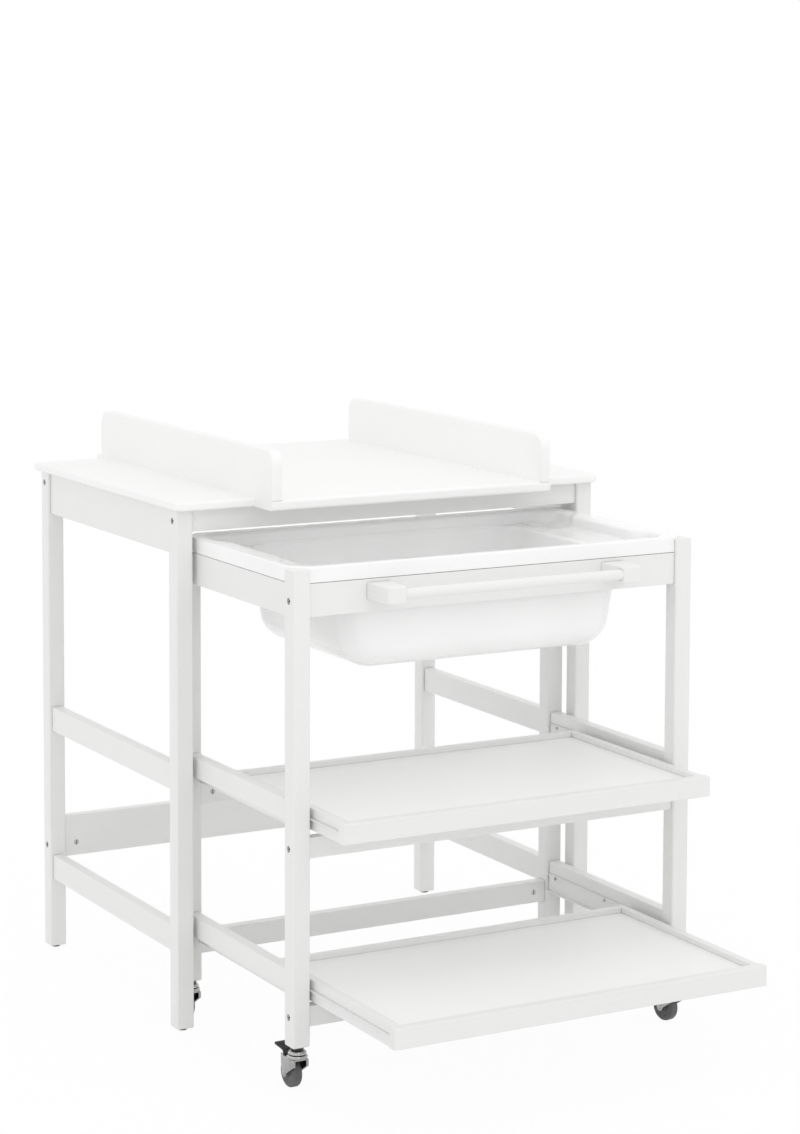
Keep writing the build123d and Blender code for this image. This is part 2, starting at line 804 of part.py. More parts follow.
with BuildPart() as slide_tracks:
    for level_name, shelf_bottom, shelf_out in shelf_levels:
        track_low = shelf_bottom - track_drop
        track_high = track_low + track_height
        for side in (-1, 1):
            sheet(side, track_inner, track_face, track_front, track_back, track_low, track_high)
            sheet(
                side,
                track_inner - track_floor_width,
                track_inner,
                track_front,
                track_back,
                track_low,
                track_low + slide_sheet,
            )
            sheet(
                side,
                track_inner - track_lip,
                track_inner,
                track_front,
                track_back,
                track_high - slide_sheet,
                track_high,
            )
            for screw_y in track_screw_places:
                mouth = (side * (track_inner - overrun), screw_y, shelf_bottom + screw_height)
                bore(mouth, (side, 0, 0), screw_radius + fit, slide_sheet + overrun * 2)
            hub = (side * track_inner, track_roller_y, track_roller_height(shelf_bottom))
            pin(hub, (-side, 0, 0), roller_pin_radius, roller_width + roller_side_gap)
keep(slide_tracks, "slide_tracks")

with BuildPart() as track_rollers:
    for level_name, shelf_bottom, shelf_out in shelf_levels:
        for side in (-1, 1):
            hub = (side * roller_low, track_roller_y, track_roller_height(shelf_bottom))
            pin(hub, (side, 0, 0), roller_radius, roller_width)
            bore(hub, (side, 0, 0), roller_pin_radius + fit, roller_width)
keep(track_rollers, "track_rollers")

with BuildPart() as slide_screws:
    for level_name, shelf_bottom, shelf_out in shelf_levels:
        for side in (-1, 1):
            for screw_y in track_screw_places:
                start = (side * track_inner, screw_y, shelf_bottom + screw_height)
                pin(start, (side, 0, 0), screw_radius, slide_sheet + screw_length - overrun)
                pin(start, (-side, 0, 0), screw_head_radius, screw_head_height)
keep(slide_screws, "slide_screws")

# Pull-out shelves: front board, a rim of two sides and a back, a floor and two runners
shelf_half = runner_face
shelf_front_half = trolley_half - leg_section - shelf_front_clearance
for level_name, shelf_bottom, shelf_out in shelf_levels:
    shelf_front = trolley_front - shelf_proud - shelf_out
    shelf_back = shelf_front + shelf_depth
    side_front = shelf_front + shelf_front_thickness
    shelf_top = shelf_bottom + shelf_height
    floor_top = shelf_top - shelf_lip
    floor_low = floor_top - shelf_floor_thickness
    inner_half = shelf_half - shelf_side_thickness
    inner_back = shelf_back - shelf_side_thickness
    groove_half = inner_half + shelf_groove
    groove_front = side_front - shelf_groove
    groove_back = inner_back + shelf_groove

    with BuildPart() as front_board:
        block((-shelf_front_half, shelf_front, shelf_bottom), (shelf_front_half, side_front, shelf_top))
        fillet(front_board.edges().group_by(Axis.Y)[0], shelf_round)
        with BuildSketch(Plane.XY.offset(floor_low)):
            with Locations((0, side_front - shelf_groove / 2)):
                Rectangle(groove_half * 2, shelf_groove)
        extrude(amount=shelf_floor_thickness, mode=Mode.SUBTRACT)
    keep(front_board, f"{level_name}_shelf_front")

    with BuildPart() as rim:
        for side in (-1, 1):
            sheet(side, inner_half, shelf_half, side_front, shelf_back, shelf_bottom, shelf_top)
        block((-inner_half, inner_back, shelf_bottom), (inner_half, shelf_back, shelf_top))
        with BuildSketch(Plane.XY.offset(floor_low)):
            with Locations((0, (side_front + groove_back) / 2)):
                Rectangle(groove_half * 2, groove_back - side_front)
        extrude(amount=shelf_floor_thickness, mode=Mode.SUBTRACT)
    keep(rim, f"{level_name}_shelf_rim")

    with BuildPart() as floor_panel:
        block((-groove_half, groove_front, floor_low), (groove_half, groove_back, floor_top))
    keep(floor_panel, f"{level_name}_shelf_floor")

    runner_roller_y = shelf_back - roller_from_end
    runner_roller_z = shelf_bottom - track_drop + slide_sheet + roller_gap + roller_radius
    with BuildPart() as runners:
        for side in (-1, 1):
            runner_low = shelf_bottom - slide_sheet
            runner_high = shelf_bottom + runner_height
            for x_low, x_high, z_low, z_high in (
                (shelf_half, shelf_half + slide_sheet, runner_low, runner_high),
                (shelf_half - runner_foot, shelf_half, runner_low, shelf_bottom),
                (shelf_half, runner_out, runner_high - slide_sheet, runner_high),
            ):
                sheet(side, x_low, x_high, side_front, shelf_back, z_low, z_high)
            hub_start = side * (shelf_half + slide_sheet)
            pin(
                (hub_start, runner_roller_y, runner_roller_z),
                (side, 0, 0),
                roller_pin_radius,
                roller_width + roller_side_gap,
            )
    with BuildPart() as runner_rollers:
        for side in (-1, 1):
            hub = (side * roller_low, runner_roller_y, runner_roller_z)
            pin(hub, (side, 0, 0), roller_radius, roller_width)
            bore(hub, (side, 0, 0), roller_pin_radius + fit, roller_width)
    runners.part = Compound(children=runners.part.solids() + runner_rollers.part.solids())
    keep(runners, f"{level_name}_shelf_runners")

# Caster stems: upper race, collar and threaded stem in the leg, spindle through the fork
caster_places = [
    (f"{end_name}_{side_name}", side, axis_y, turn)
    for end_name, axis_y, turns in (
        ("front", trolley_front + leg_half, (front_left_turn, front_right_turn)),
        ("rear", trolley_back - leg_half, (rear_left_turn, rear_right_turn)),
    )
    for side_name, side, turn in zip(("left", "right"), (-1, 1), turns)
]
caster_x = trolley_half - leg_half
spindle_head_high = fork_plate_low - spindle_head_gap
with BuildPart() as caster_stems:
    for place, side, axis_y, turn in caster_places:
        for radius, low, high in (
            (spindle_head_radius, spindle_head_low, spindle_head_high),
            (stem_radius - fit, spindle_head_high, upper_race_low),
            (upper_race_radius, upper_race_low, upper_race_high),
            (collar_radius, upper_race_high, caster_height),
            (stem_radius, caster_height, caster_height + stem_depth),
        ):
            pin((side * caster_x, axis_y, low), (0, 0, 1), radius, high - low)
keep(caster_stems, "caster_stems")

# Forks with their axles, wheels and brake levers
for place, side, axis_y, turn in caster_places:
    trail = Vector(sin(radians(turn)), cos(radians(turn)), 0)
    across = trail.cross(Vector(0, 0, 1))
    foot = Vector(side * caster_x, axis_y, 0)
    side_plane = Plane(origin=foot, x_dir=trail, z_dir=across)
    level = Plane(origin=foot, x_dir=trail, z_dir=(0, 0, 1))
    arm_middle = fork_gap / 2 + fork_sheet / 2
    axle_half = fork_gap / 2 + fork_sheet
    has_brake = place.startswith("front")

    with BuildPart() as fork:
        for way in (-1, 1):
            with BuildSketch(side_plane.offset(way * arm_middle)):
                with BuildLine():
                    Polyline(
                        (-fork_front, fork_plate_high),
                        (-fork_front, fork_waist_height),
                        (wheel_trail - fork_tip_radius, wheel_radius),
                        (wheel_trail + fork_tip_radius, wheel_radius),
                        (fork_back + fork_tip_radius, fork_waist_height),
                        (fork_back + fork_tip_radius, fork_plate_high + pedal_thickness),
                        (fork_back, fork_plate_high + pedal_thickness),
                        (fork_back, fork_plate_high),
                        close=True,
                    )
                make_face()
                with Locations((wheel_trail, wheel_radius)):
                    Circle(fork_tip_radius)
                with Locations((wheel_trail, wheel_radius)):
                    Circle(axle_radius + fit, mode=Mode.SUBTRACT)
                if has_brake:
                    with Locations((lever_along, lever_height)):
                        Circle(lever_pin_radius + fit, mode=Mode.SUBTRACT)
            extrude(amount=fork_sheet / 2, both=True)
        with BuildSketch(level.offset(fork_plate_low)):
            with Locations(((fork_back - fork_front) / 2, 0)):
                Rectangle(fork_back + fork_front, fork_gap + fork_sheet * 2)
            if has_brake:
                lever_room = lever_along - lever_hub_radius - lever_play * 2
                with Locations((lever_room + fork_back / 2, 0)):
                    Rectangle(fork_back, fork_gap, mode=Mode.SUBTRACT)
        extrude(amount=fork_plate_high - fork_plate_low)
        with BuildSketch(level.offset(fork_plate_high)):
            Circle(race_radius)
        extrude(amount=race_high - fork_plate_high)
        race_edges = fork.edges().filter_by(GeomType.CIRCLE).filter_by(
            lambda edge: abs(edge.radius - race_radius) < fit and edge.center().Z > race_high - race_round
        )
        fillet(race_edges, race_round)
        with BuildSketch(level.offset(fork_plate_low)):
            Circle(stem_radius)
        extrude(amount=race_high - fork_plate_low, mode=Mode.SUBTRACT)
    with BuildPart() as axle:
        with BuildSketch(side_plane):
            with Locations((wheel_trail, wheel_radius)):
                Circle(axle_radius)
        extrude(amount=axle_half, both=True)
        for way in (-1, 1):
            with BuildSketch(side_plane.offset(way * axle_half)):
                with Locations((wheel_trail, wheel_radius)):
                    Circle(axle_head_radius)
            extrude(amount=way * axle_head_height)
    fork.part = Compound(children=fork.part.solids() + axle.part.solids())
    keep(fork, f"caster_fork_{place}")

    with BuildPart() as wheel:
        with BuildSketch(side_plane):
            with Locations((wheel_trail, wheel_radius)):
                Circle(wheel_radius)
        extrude(amount=wheel_width / 2, both=True)
        fillet(wheel.edges(), wheel_round)
        for way in (-1, 1):
            with BuildSketch(side_plane.offset(way * wheel_width / 2)):
                with Locations((wheel_trail, wheel_radius)):
                    Circle(wheel_dish_radius)
            extrude(amount=-way * wheel_dish_depth, mode=Mode.SUBTRACT)
        with BuildSketch(side_plane):
            with Locations((wheel_trail, wheel_radius)):
                Circle(axle_radius + fit)
        extrude(amount=wheel_width, both=True, mode=Mode.SUBTRACT)
    keep(wheel, f"caster_wheel_{place}")

    if has_brake:
        with BuildPart() as brake_lever:
            with BuildSketch(side_plane):
                with Locations((lever_along, lever_height)):
                    Circle(lever_hub_radius)
                with Locations((lever_along, lever_height - lever_nub_reach)):
                    Circle(lever_nub_radius)
                with BuildLine():
                    Polyline(
                        (lever_along, lever_height),
                        (pedal_start_along, pedal_start_height),
                        (pedal_start_along, pedal_start_height + pedal_thickness),
                        (lever_along - lever_hub_radius, lever_height),
                        close=True,
                    )
                make_face()
            extrude(amount=lever_width / 2, both=True)
            with BuildSketch(side_plane):
                with BuildLine():
                    Polyline(
                        (pedal_start_along, pedal_start_height),
                        (pedal_end_along, pedal_end_height - pedal_thickness),
                        (pedal_end_along, pedal_end_height),
                        (pedal_start_along, pedal_start_height + pedal_thickness),
                        close=True,
                    )
                make_face()
            extrude(amount=pedal_width / 2, both=True)
            with BuildSketch(side_plane):
                with Locations((lever_along, lever_height)):
                    Circle(lever_pin_radius)
            extrude(amount=axle_half, both=True)
        keep(brake_lever, f"brake_lever_{place}")
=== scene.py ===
"""White changing table over a roll-out bath trolley, dressed for rendering.

The boards, rails, handle, bolts and slides keep their CAD shapes and get their finishes here.
The moulded tub, the casters and the glides are modelled anew in their places.
Every length is in metres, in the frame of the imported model.
"""

import json
import logging
import math
from collections.abc import Sequence
from dataclasses import astuple, dataclass, field, replace
from enum import Enum

import bmesh
import bpy
from bmesh.types import BMEdge, BMesh, BMVert
from bpy.types import ID, Material, Node, NodeSocket, Object, World
from mathutils import Matrix, Vector


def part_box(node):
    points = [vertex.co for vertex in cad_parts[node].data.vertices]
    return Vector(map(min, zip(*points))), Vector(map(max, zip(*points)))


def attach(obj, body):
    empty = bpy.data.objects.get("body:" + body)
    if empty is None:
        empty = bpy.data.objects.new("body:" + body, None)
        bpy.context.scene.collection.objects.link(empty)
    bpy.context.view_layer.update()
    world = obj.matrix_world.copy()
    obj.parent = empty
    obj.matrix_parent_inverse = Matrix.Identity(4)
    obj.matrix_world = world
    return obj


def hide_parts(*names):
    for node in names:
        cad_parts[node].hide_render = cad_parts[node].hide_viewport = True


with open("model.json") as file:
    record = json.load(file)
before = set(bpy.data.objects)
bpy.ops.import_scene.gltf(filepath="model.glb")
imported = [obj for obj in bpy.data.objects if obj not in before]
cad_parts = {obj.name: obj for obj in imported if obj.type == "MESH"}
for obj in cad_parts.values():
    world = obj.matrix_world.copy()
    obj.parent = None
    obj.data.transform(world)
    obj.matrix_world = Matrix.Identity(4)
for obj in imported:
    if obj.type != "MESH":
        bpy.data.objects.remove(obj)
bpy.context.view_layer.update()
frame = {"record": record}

log = logging.getLogger("changing_table")

Pair = tuple[float, float]
Triple = tuple[float, float, float]
Finishes = dict[str, Material]

ACROSS = Vector((0, 1, 0))
UPWARD = Vector((0, 0, 1))
QUARTER_TURN = math.pi / 2

# Corners nearer than this become one.
WELD_REACH = 0.000002
# Corners nearer than this to a plane lie in it.
PLANE_REACH = 0.00001

# The colour sockets of a mix node, whose names it uses for other kinds of value too.
MIX_FIRST, MIX_SECOND, MIX_RESULT = 6, 7, 2

# Profiles of the turned caster parts, as pairs of a radius and a height along the axis.
AXLE_HEAD = (
    (0.0, 0.0012), (0.0026, 0.00115), (0.0039, 0.0007), (0.0044, 0.0), (0.0044, -0.0006), (0.0, -0.0006),
)
BRAKE_PIN = (
    (0.0, -0.0108), (0.0028, -0.0108), (0.0032, -0.0104), (0.0032, 0.0104), (0.0028, 0.0108), (0.0, 0.0108),
)
UPPER_RACE = (
    (0.0, 0.0613), (0.0146, 0.0613), (0.0154, 0.0619), (0.0155, 0.0632), (0.0148, 0.065),
    (0.0132, 0.0666), (0.0112, 0.0676), (0.0095, 0.068), (0.0, 0.068),
)
COLLAR = (
    (0.0, 0.0679), (0.0102, 0.0679), (0.0108, 0.0684), (0.011, 0.0692),
    (0.011, 0.0728), (0.0106, 0.0738), (0.0101, 0.0739), (0.0, 0.0739),
)
# The same for the lower race, with heights above the fork's plate.
LOWER_RACE = (
    (0.0054, 0.0068), (0.0125, 0.0068), (0.0152, 0.0063), (0.0168, 0.005), (0.0174, 0.0032),
    (0.0172, 0.0016), (0.0166, 0.0004), (0.0166, -0.0002), (0.0054, -0.0002), (0.0054, 0.0068),
)
# The same for the wheel's dished side, with depths below its outermost plane.
WHEEL_DISH = (
    (0.0031, 0.0006), (0.0056, 0.0006), (0.0062, 0.0014), (0.0118, 0.0014), (0.0135, 0.0008),
    (0.0142, 0.0001), (0.0162, 0.0), (0.0166, 0.0006), (0.0172, 0.0006), (0.0176, 0.0),
)
# The glide's dome, as shares of its radius and of its height.
GLIDE_SHARES = ((0.0, 0.0), (0.55, 0.02), (0.8, 0.12), (0.95, 0.32), (1.0, 0.56), (1.0, 1.0), (0.0, 1.0))

SMOOTH_BOARDS = (
    "worktop_left", "worktop_right", "changing_panel", "side_board_left", "side_board_right",
    "mid_shelf_floor", "low_shelf_floor",
)


class Grain(Enum):
    """The way the wood grain runs under the lacquer, along one axis of the object."""

    ALONG_X = 0
    ALONG_Y = 1
    ALONG_Z = 2


class Side(Enum):
    """The left or the right of someone who stands at the handle."""

    LEFT = -1
    RIGHT = 1


class NodeTree:
    """The nodes of a material or a world, from an empty start."""

    def __init__(self, owner: Material | World) -> None:
        """Clear the owner's nodes and give it an output.

        Args:
            owner: The material or world that gets the new nodes.
        """
        owner.use_nodes = True
        self.tree = owner.node_tree
        self.tree.nodes.clear()
        kind = "OutputWorld" if isinstance(owner, World) else "OutputMaterial"
        self.output = self.add(kind).inputs["Surface"]

    def add(self, kind: str, **values: float | tuple) -> Node:
        """Add a node.

        Args:
            kind: Its type, without the words that all types start with.
            values: Plain values for its sockets, with underscores for spaces.

        Returns:
            The new node.
        """
        made = self.tree.nodes.new(f"ShaderNode{kind}")
        for key, value in values.items():
            made.inputs[key.replace("_", " ")].default_value = value
        return made

    def link(self, source: NodeSocket, target: NodeSocket) -> None:
        """Join two sockets."""
        self.tree.links.new(source, target)

    def seen_by(self, first: str, *others: str) -> NodeSocket:
        """Tell some kinds of ray from all others.

        Args:
            first: The first kind, such as Camera.
            others: More kinds.

        Returns:
            The socket that is 1 for these kinds and 0 for the rest.
        """
        path = self.add("LightPath")
        seen = path.outputs[f"Is {first} Ray"]
        for ray in others:
            either = self.add("Math")
            either.operation = "MAXIMUM"
            self.link(seen, either.inputs[0])
            self.link(path.outputs[f"Is {ray} Ray"], either.inputs[1])
            seen = either.outputs["Value"]
        return seen

    def show_mixed(self, share: NodeSocket, first: NodeSocket, second: NodeSocket) -> None:
        """Show a mixture of two shaders.

        Args:
            share: How much of the second shows.
            first: The first shader.
            second: The second shader.
        """
        mixed = self.add("MixShader")
        for source, target in zip((share, first, second), mixed.inputs):
            self.link(source, target)
        self.link(mixed.outputs["Shader"], self.output)


class Shader(NodeTree):
    """One material on a Principled shader."""

    def __init__(self, name: str, **values: float) -> None:
        """Start the material.

        Args:
            name: The material's name.
            values: Plain values for the surface's sockets, with underscores for spaces.
        """
        self.material = bpy.data.materials.new(name)
        super().__init__(self.material)
        self.surface = self.add("BsdfPrincipled", **values)
        self.link(self.surface.outputs["BSDF"], self.output)
        self.coordinates = self.add("TexCoord")

    def place(self, scale: Sequence[float] = (1, 1, 1)) -> NodeSocket:
        """Give object coordinates, stretched along each axis.

        Args:
            scale: The factor along each axis.

        Returns:
            The vector socket.
        """
        mapping = self.add("Mapping", Scale=tuple(scale))
        self.link(self.coordinates.outputs["Object"], mapping.inputs["Vector"])
        return mapping.outputs["Vector"]

    def noise(
        self, where: NodeSocket, scale: float = 1.0, detail: float = 2.0, distortion: float = 0.0
    ) -> NodeSocket:
        """Give a noise pattern.

        Args:
            where: The coordinates it reads.
            scale: How fine it is, in waves a metre.
            detail: How many finer layers it has.
            distortion: How much it is warped.

        Returns:
            The factor socket.
        """
        pattern = self.add("TexNoise", Scale=scale, Detail=detail, Distortion=distortion)
        self.link(where, pattern.inputs["Vector"])
        return pattern.outputs["Fac"]

    def span(
        self, value: NodeSocket, low: float, high: float, start: float = 0.3, end: float = 0.7
    ) -> NodeSocket:
        """Stretch a pattern between two values.

        Args:
            value: The pattern.
            low: The value at its start.
            high: The value at its end.
            start: The pattern's level that gives the low value.
            end: The pattern's level that gives the high value.

        Returns:
            The result socket.
        """
        ranged = self.add("MapRange", From_Min=start, From_Max=end, To_Min=low, To_Max=high)
        self.link(value, ranged.inputs["Value"])
        return ranged.outputs["Result"]

    def tones(self, value: NodeSocket, *stops: tuple[float, Triple]) -> NodeSocket:
        """Turn a pattern into colours.

        Args:
            value: The pattern.
            stops: Pairs of a place and a linear colour.

        Returns:
            The colour socket.
        """
        ramp = self.add("ValToRGB")
        elements = ramp.color_ramp.elements
        while len(elements) < len(stops):
            elements.new(0.5)
        for element, (place, colour) in zip(elements, stops):
            element.position = place
            element.color = (*colour, 1.0)
        self.link(value, ramp.inputs["Fac"])
        return ramp.outputs["Color"]

    def shaded_in_recesses(self, colour: NodeSocket, painted_shade: Triple, reach: float) -> NodeSocket:
        """Paint shade into a colour in recesses and joints, where less light reaches.

        Args:
            colour: The colour in the open.
            painted_shade: The linear colour of the painted shade deep in a recess.
            reach: How near other surfaces stand that make a recess, in metres.

        Returns:
            The colour socket.
        """
        # Painted shade: occlusion darkens the colour towards the given shade colour.
        openness = self.add("AmbientOcclusion", Distance=reach)
        openness.samples = 8
        mixed = self.add("Mix")
        mixed.data_type = "RGBA"
        mixed.inputs[MIX_FIRST].default_value = (*painted_shade, 1.0)
        self.link(self.span(openness.outputs["AO"], 0.0, 1.0, start=0.15, end=0.9), mixed.inputs[0])
        self.link(colour, mixed.inputs[MIX_SECOND])
        return mixed.outputs[MIX_RESULT]

    def lit_from_above(self, colour: NodeSocket, amount: float, steepest: float = 0.8) -> NodeSocket:
        """Make a colour lighter where the surface faces up and darker where it faces down.

        Args:
            colour: The colour of an upright surface.
            amount: How much lighter or darker it becomes.
            steepest: The height of the normal at which it is lightest.

        Returns:
            The colour socket.
        """
        parts = self.add("SeparateXYZ")
        self.link(self.coordinates.outputs["Normal"], parts.inputs[0])
        scaled = self.add("VectorMath")
        scaled.operation = "SCALE"
        self.link(colour, scaled.inputs[0])
        factor = self.span(parts.outputs["Z"], 1.0 - amount, 1.0 + amount, -steepest, steepest)
        self.link(factor, scaled.inputs["Scale"])
        return scaled.outputs["Vector"]

    def paint(self, colour: NodeSocket, roughness: NodeSocket) -> None:
        """Use a colour and a pattern of roughness for the surface."""
        self.link(colour, self.surface.inputs["Base Color"])
        self.link(roughness, self.surface.inputs["Roughness"])

    def bump(self, *layers: tuple[NodeSocket, float]) -> None:
        """Raise the surface by patterns.

        Args:
            layers: Pairs of a pattern and the height of its waves in metres.
        """
        below = None
        for pattern, height in layers:
            raised = self.add("Bump", Strength=1.0, Distance=height)
            self.link(pattern, raised.inputs["Height"])
            if below is not None:
                self.link(below, raised.inputs["Normal"])
            below = raised.outputs["Normal"]
        self.link(below, self.surface.inputs["Normal"])


def shade(colour: Triple, factor: float) -> Triple:
    """Give a colour made lighter or darker by a factor."""
    return tuple(min(1.0, part * factor) for part in colour)


@dataclass(frozen=True)
class Lacquer:
    """White satin paint on solid wood: faint grain under an even, slightly wavy coat, with painted shade
    along its seams and under overhangs.
    """

    name: str
    grain: Grain
    colour: Triple = (0.855, 0.853, 0.846)
    sheen: Pair = (0.36, 0.48)
    waves_along: float = 5.0
    waves_across: float = 90.0
    pore_fineness: float = 7.0
    grain_height: float = 0.00003
    pore_height: float = 0.000015
    peel_height: float = 0.00002
    # Painted shade along seams and under overhangs: how near surfaces stand to make it, and how dark it gets.
    painted_seam_reach: float = 0.003
    painted_seam_shade: float = 0.5

    def make(self) -> Material:
        """Build the material.

        Returns:
            The new material.
        """
        shader = Shader(self.name, Specular_IOR_Level=0.45, Coat_Weight=0.12, Coat_Roughness=0.3)
        stretch = [self.waves_across] * 3
        stretch[self.grain.value] = self.waves_along
        plain = shader.place()
        figure = shader.noise(shader.place(stretch), detail=4.0, distortion=0.6)
        pores = shader.noise(shader.place([part * self.pore_fineness for part in stretch]))
        peel = shader.noise(plain, scale=320.0, detail=1.0)
        coat = shader.tones(
            shader.span(figure, 0.0, 1.0, start=0.25, end=0.75),
            (0.0, shade(self.colour, 0.992)),
            (0.55, self.colour),
            (1.0, shade(self.colour, 1.006)),
        )
        # The colour carries painted shade along seams and under overhangs.
        shader.paint(
            shader.shaded_in_recesses(coat, shade(self.colour, self.painted_seam_shade), self.painted_seam_reach),
            shader.span(shader.noise(plain, scale=16.0, detail=3.0), *self.sheen),
        )
        shader.bump((figure, self.grain_height), (pores, self.pore_height), (peel, self.peel_height))
        return shader.material


@dataclass(frozen=True)
class BoardCoat:
    """White paint on smooth board: no grain, only the roller's orange peel."""

    name: str
    colour: Triple = (0.955, 0.953, 0.948)
    sheen: Pair = (0.48, 0.6)
    peel_height: float = 0.00004
    cloud_height: float = 0.00003

    def make(self) -> Material:
        """Build the material.

        Returns:
            The new material.
        """
        shader = Shader(self.name, Specular_IOR_Level=0.45, Coat_Weight=0.06, Coat_Roughness=0.4)
        plain = shader.place()
        cloud = shader.noise(plain, scale=5.0, detail=3.0)
        peel = shader.noise(plain, scale=420.0)
        shader.paint(
            shader.tones(cloud, (0.3, shade(self.colour, 0.992)), (0.7, shade(self.colour, 1.006))),
            shader.span(shader.noise(plain, scale=24.0, detail=4.0), *self.sheen),
        )
        shader.bump((peel, self.peel_height), (cloud, self.cloud_height))
        return shader.material


@dataclass(frozen=True)
class Moulded:
    """Moulded plastic with a fine skin and faint flow marks."""

    name: str
    colour: Triple
    sheen: Pair
    skin_scale: float = 900.0
    skin_height: float = 0.00002
    flow_stretch: Triple = (5.0, 9.0, 3.0)
    flow_height: float = 0.00015
    coat: float = 0.0

    def make(self) -> Material:
        """Build the material.

        Returns:
            The new material.
        """
        shader = Shader(self.name, Specular_IOR_Level=0.5, Coat_Weight=self.coat, Coat_Roughness=0.08)
        plain = shader.place()
        flow = shader.noise(shader.place(self.flow_stretch), distortion=0.8)
        skin = shader.noise(plain, scale=self.skin_scale, detail=1.0)
        shader.paint(
            shader.tones(flow, (0.3, shade(self.colour, 0.98)), (0.7, shade(self.colour, 1.01))),
            shader.span(shader.noise(plain, scale=40.0, detail=3.0), *self.sheen),
        )
        shader.bump((flow, self.flow_height), (skin, self.skin_height))
        return shader.material


@dataclass(frozen=True)
class Metal:
    """Plated steel, with fine drawn lines, spots of wear, painted shade in its recesses and, when asked,
    painted light on upward faces.
    """

    name: str
    colour: Triple
    sheen: Pair
    # Painted shade: the colour deep in recesses, and how near surfaces stand to make one.
    painted_shade: Triple = (0.04, 0.04, 0.042)
    painted_shade_reach: float = 0.006
    line_stretch: Triple = (60.0, 60.0, 2600.0)
    line_height: float = 0.00001
    spot_scale: float = 60.0
    # Painted light: how much lighter upward faces and darker downward faces become.
    painted_sky_light: float = 0.0

    def make(self) -> Material:
        """Build the material.

        Returns:
            The new material.
        """
        shader = Shader(self.name, Metallic=1.0, Specular_IOR_Level=0.5)
        plain = shader.place()
        lines = shader.noise(shader.place(self.line_stretch))
        dust = shader.noise(plain, scale=500.0)
        spots = shader.noise(plain, scale=self.spot_scale, detail=4.0, distortion=0.4)
        worn_and_lit = shader.tones(spots, (0.3, shade(self.colour, 0.9)), (0.65, shade(self.colour, 1.04)))
        # Painted light makes upward faces lighter and downward faces darker; painted shade then darkens the
        # recesses.
        if self.painted_sky_light:
            worn_and_lit = shader.lit_from_above(worn_and_lit, self.painted_sky_light)
        shader.paint(
            shader.shaded_in_recesses(worn_and_lit, self.painted_shade, self.painted_shade_reach), shader.span(spots, *self.sheen)
        )
        shader.bump((lines, self.line_height), (dust, self.line_height))
        return shader.material


@dataclass(frozen=True)
class BareBeech:
    """Unpainted beech for the hidden dowels."""

    name: str
    dark: Triple = (0.5, 0.33, 0.19)
    light: Triple = (0.68, 0.49, 0.31)
    ring_stretch: Triple = (140.0, 140.0, 20.0)
    fleck_stretch: Triple = (900.0, 900.0, 120.0)
    ring_height: float = 0.00006
    fleck_height: float = 0.00008

    def make(self) -> Material:
        """Build the material.

        Returns:
            The new material.
        """
        shader = Shader(self.name)
        rings = shader.noise(shader.place(self.ring_stretch), detail=5.0, distortion=1.2)
        flecks = shader.noise(shader.place(self.fleck_stretch))
        shader.paint(
            shader.tones(rings, (0.25, self.dark), (0.75, self.light)), shader.span(flecks, 0.55, 0.75)
        )
        shader.bump((flecks, self.fleck_height), (rings, self.ring_height))
        return shader.material


def dress(piece: Object, material: Material) -> None:
    """Give a piece or a CAD node one material in all its slots.

    Args:
        piece: The object.
        material: Its finish.
    """
    if not piece.material_slots:
        piece.data.materials.append(material)
    for material_slot in piece.material_slots:
        material_slot.material = material


def finish_piece(
    builder: BMesh, name: str, body: str, slot: str, finishes: Finishes, crease: float = 40.0
) -> Object:
    """Turn a bmesh into a shown piece.

    Args:
        builder: The finished shape, which is freed.
        name: The piece's name.
        body: The body it rides on.
        slot: The record's material slot.
        finishes: The materials by slot.
        crease: The angle in degrees past which an edge looks sharp.

    Returns:
        The new object.
    """
    bmesh.ops.remove_doubles(builder, verts=builder.verts, dist=WELD_REACH)
    bmesh.ops.recalc_face_normals(builder, faces=builder.faces)
    mesh = bpy.data.meshes.new(name)
    builder.to_mesh(mesh)
    builder.free()
    mesh.shade_smooth()
    mesh.set_sharp_from_angle(angle=math.radians(crease))
    piece = shown(name, mesh)
    dress(piece, finishes[slot])
    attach(piece, body)
    log.info("%s: %d faces", name, len(mesh.polygons))
    return piece


def shown(name: str, data: ID) -> Object:
    """Put a new object into the scene.

    Args:
        name: Its name.
        data: Its mesh, lamp or camera.

    Returns:
        The object.
    """
    made = bpy.data.objects.new(name, data)
    bpy.context.scene.collection.objects.link(made)
    return made


def new_verts(made: dict) -> list[BMVert]:
    """Give the corners among what a bmesh operator made."""
    return [part for part in made["geom"] if isinstance(part, BMVert)]


def turned(builder: BMesh, profile: Sequence[Pair], foot: Vector, axis: Vector, steps: int) -> None:
    """Turn a profile round an axis.

    Args:
        builder: The bmesh that gets the shape.
        profile: Pairs of a radius and a height along the axis.
        foot: The point on the axis at height zero.
        axis: The axis's way, one metre long.
        steps: How many steps the full turn has.
    """
    out = axis.orthogonal().normalized()
    corners = [builder.verts.new(foot + out * radius + axis * height) for radius, height in profile]
    lines = [builder.edges.new(pair) for pair in zip(corners, corners[1:])]
    bmesh.ops.spin(
        builder, geom=corners + lines, cent=foot, axis=axis, angle=math.tau, steps=steps, use_merge=True
    )
    bmesh.ops.remove_doubles(builder, verts=builder.verts, dist=WELD_REACH)


def round_edges(builder: BMesh, edges: Sequence[BMEdge], radius: float, segments: int = 3) -> None:
    """Round edges with an even profile.

    Args:
        builder: The bmesh that has the edges.
        edges: The edges.
        radius: How far from each edge the rounding starts.
        segments: How many faces it has.
    """
    bmesh.ops.bevel(
        builder, geom=list(edges), offset=radius, offset_type="OFFSET", affect="EDGES",
        segments=segments, profile=0.5, material=-1, clamp_overlap=True,
    )


def smooth_step(value: float) -> float:
    """Give the soft step from 0 to 1."""
    value = min(1.0, max(0.0, value))
    return value * value * (3 - 2 * value)


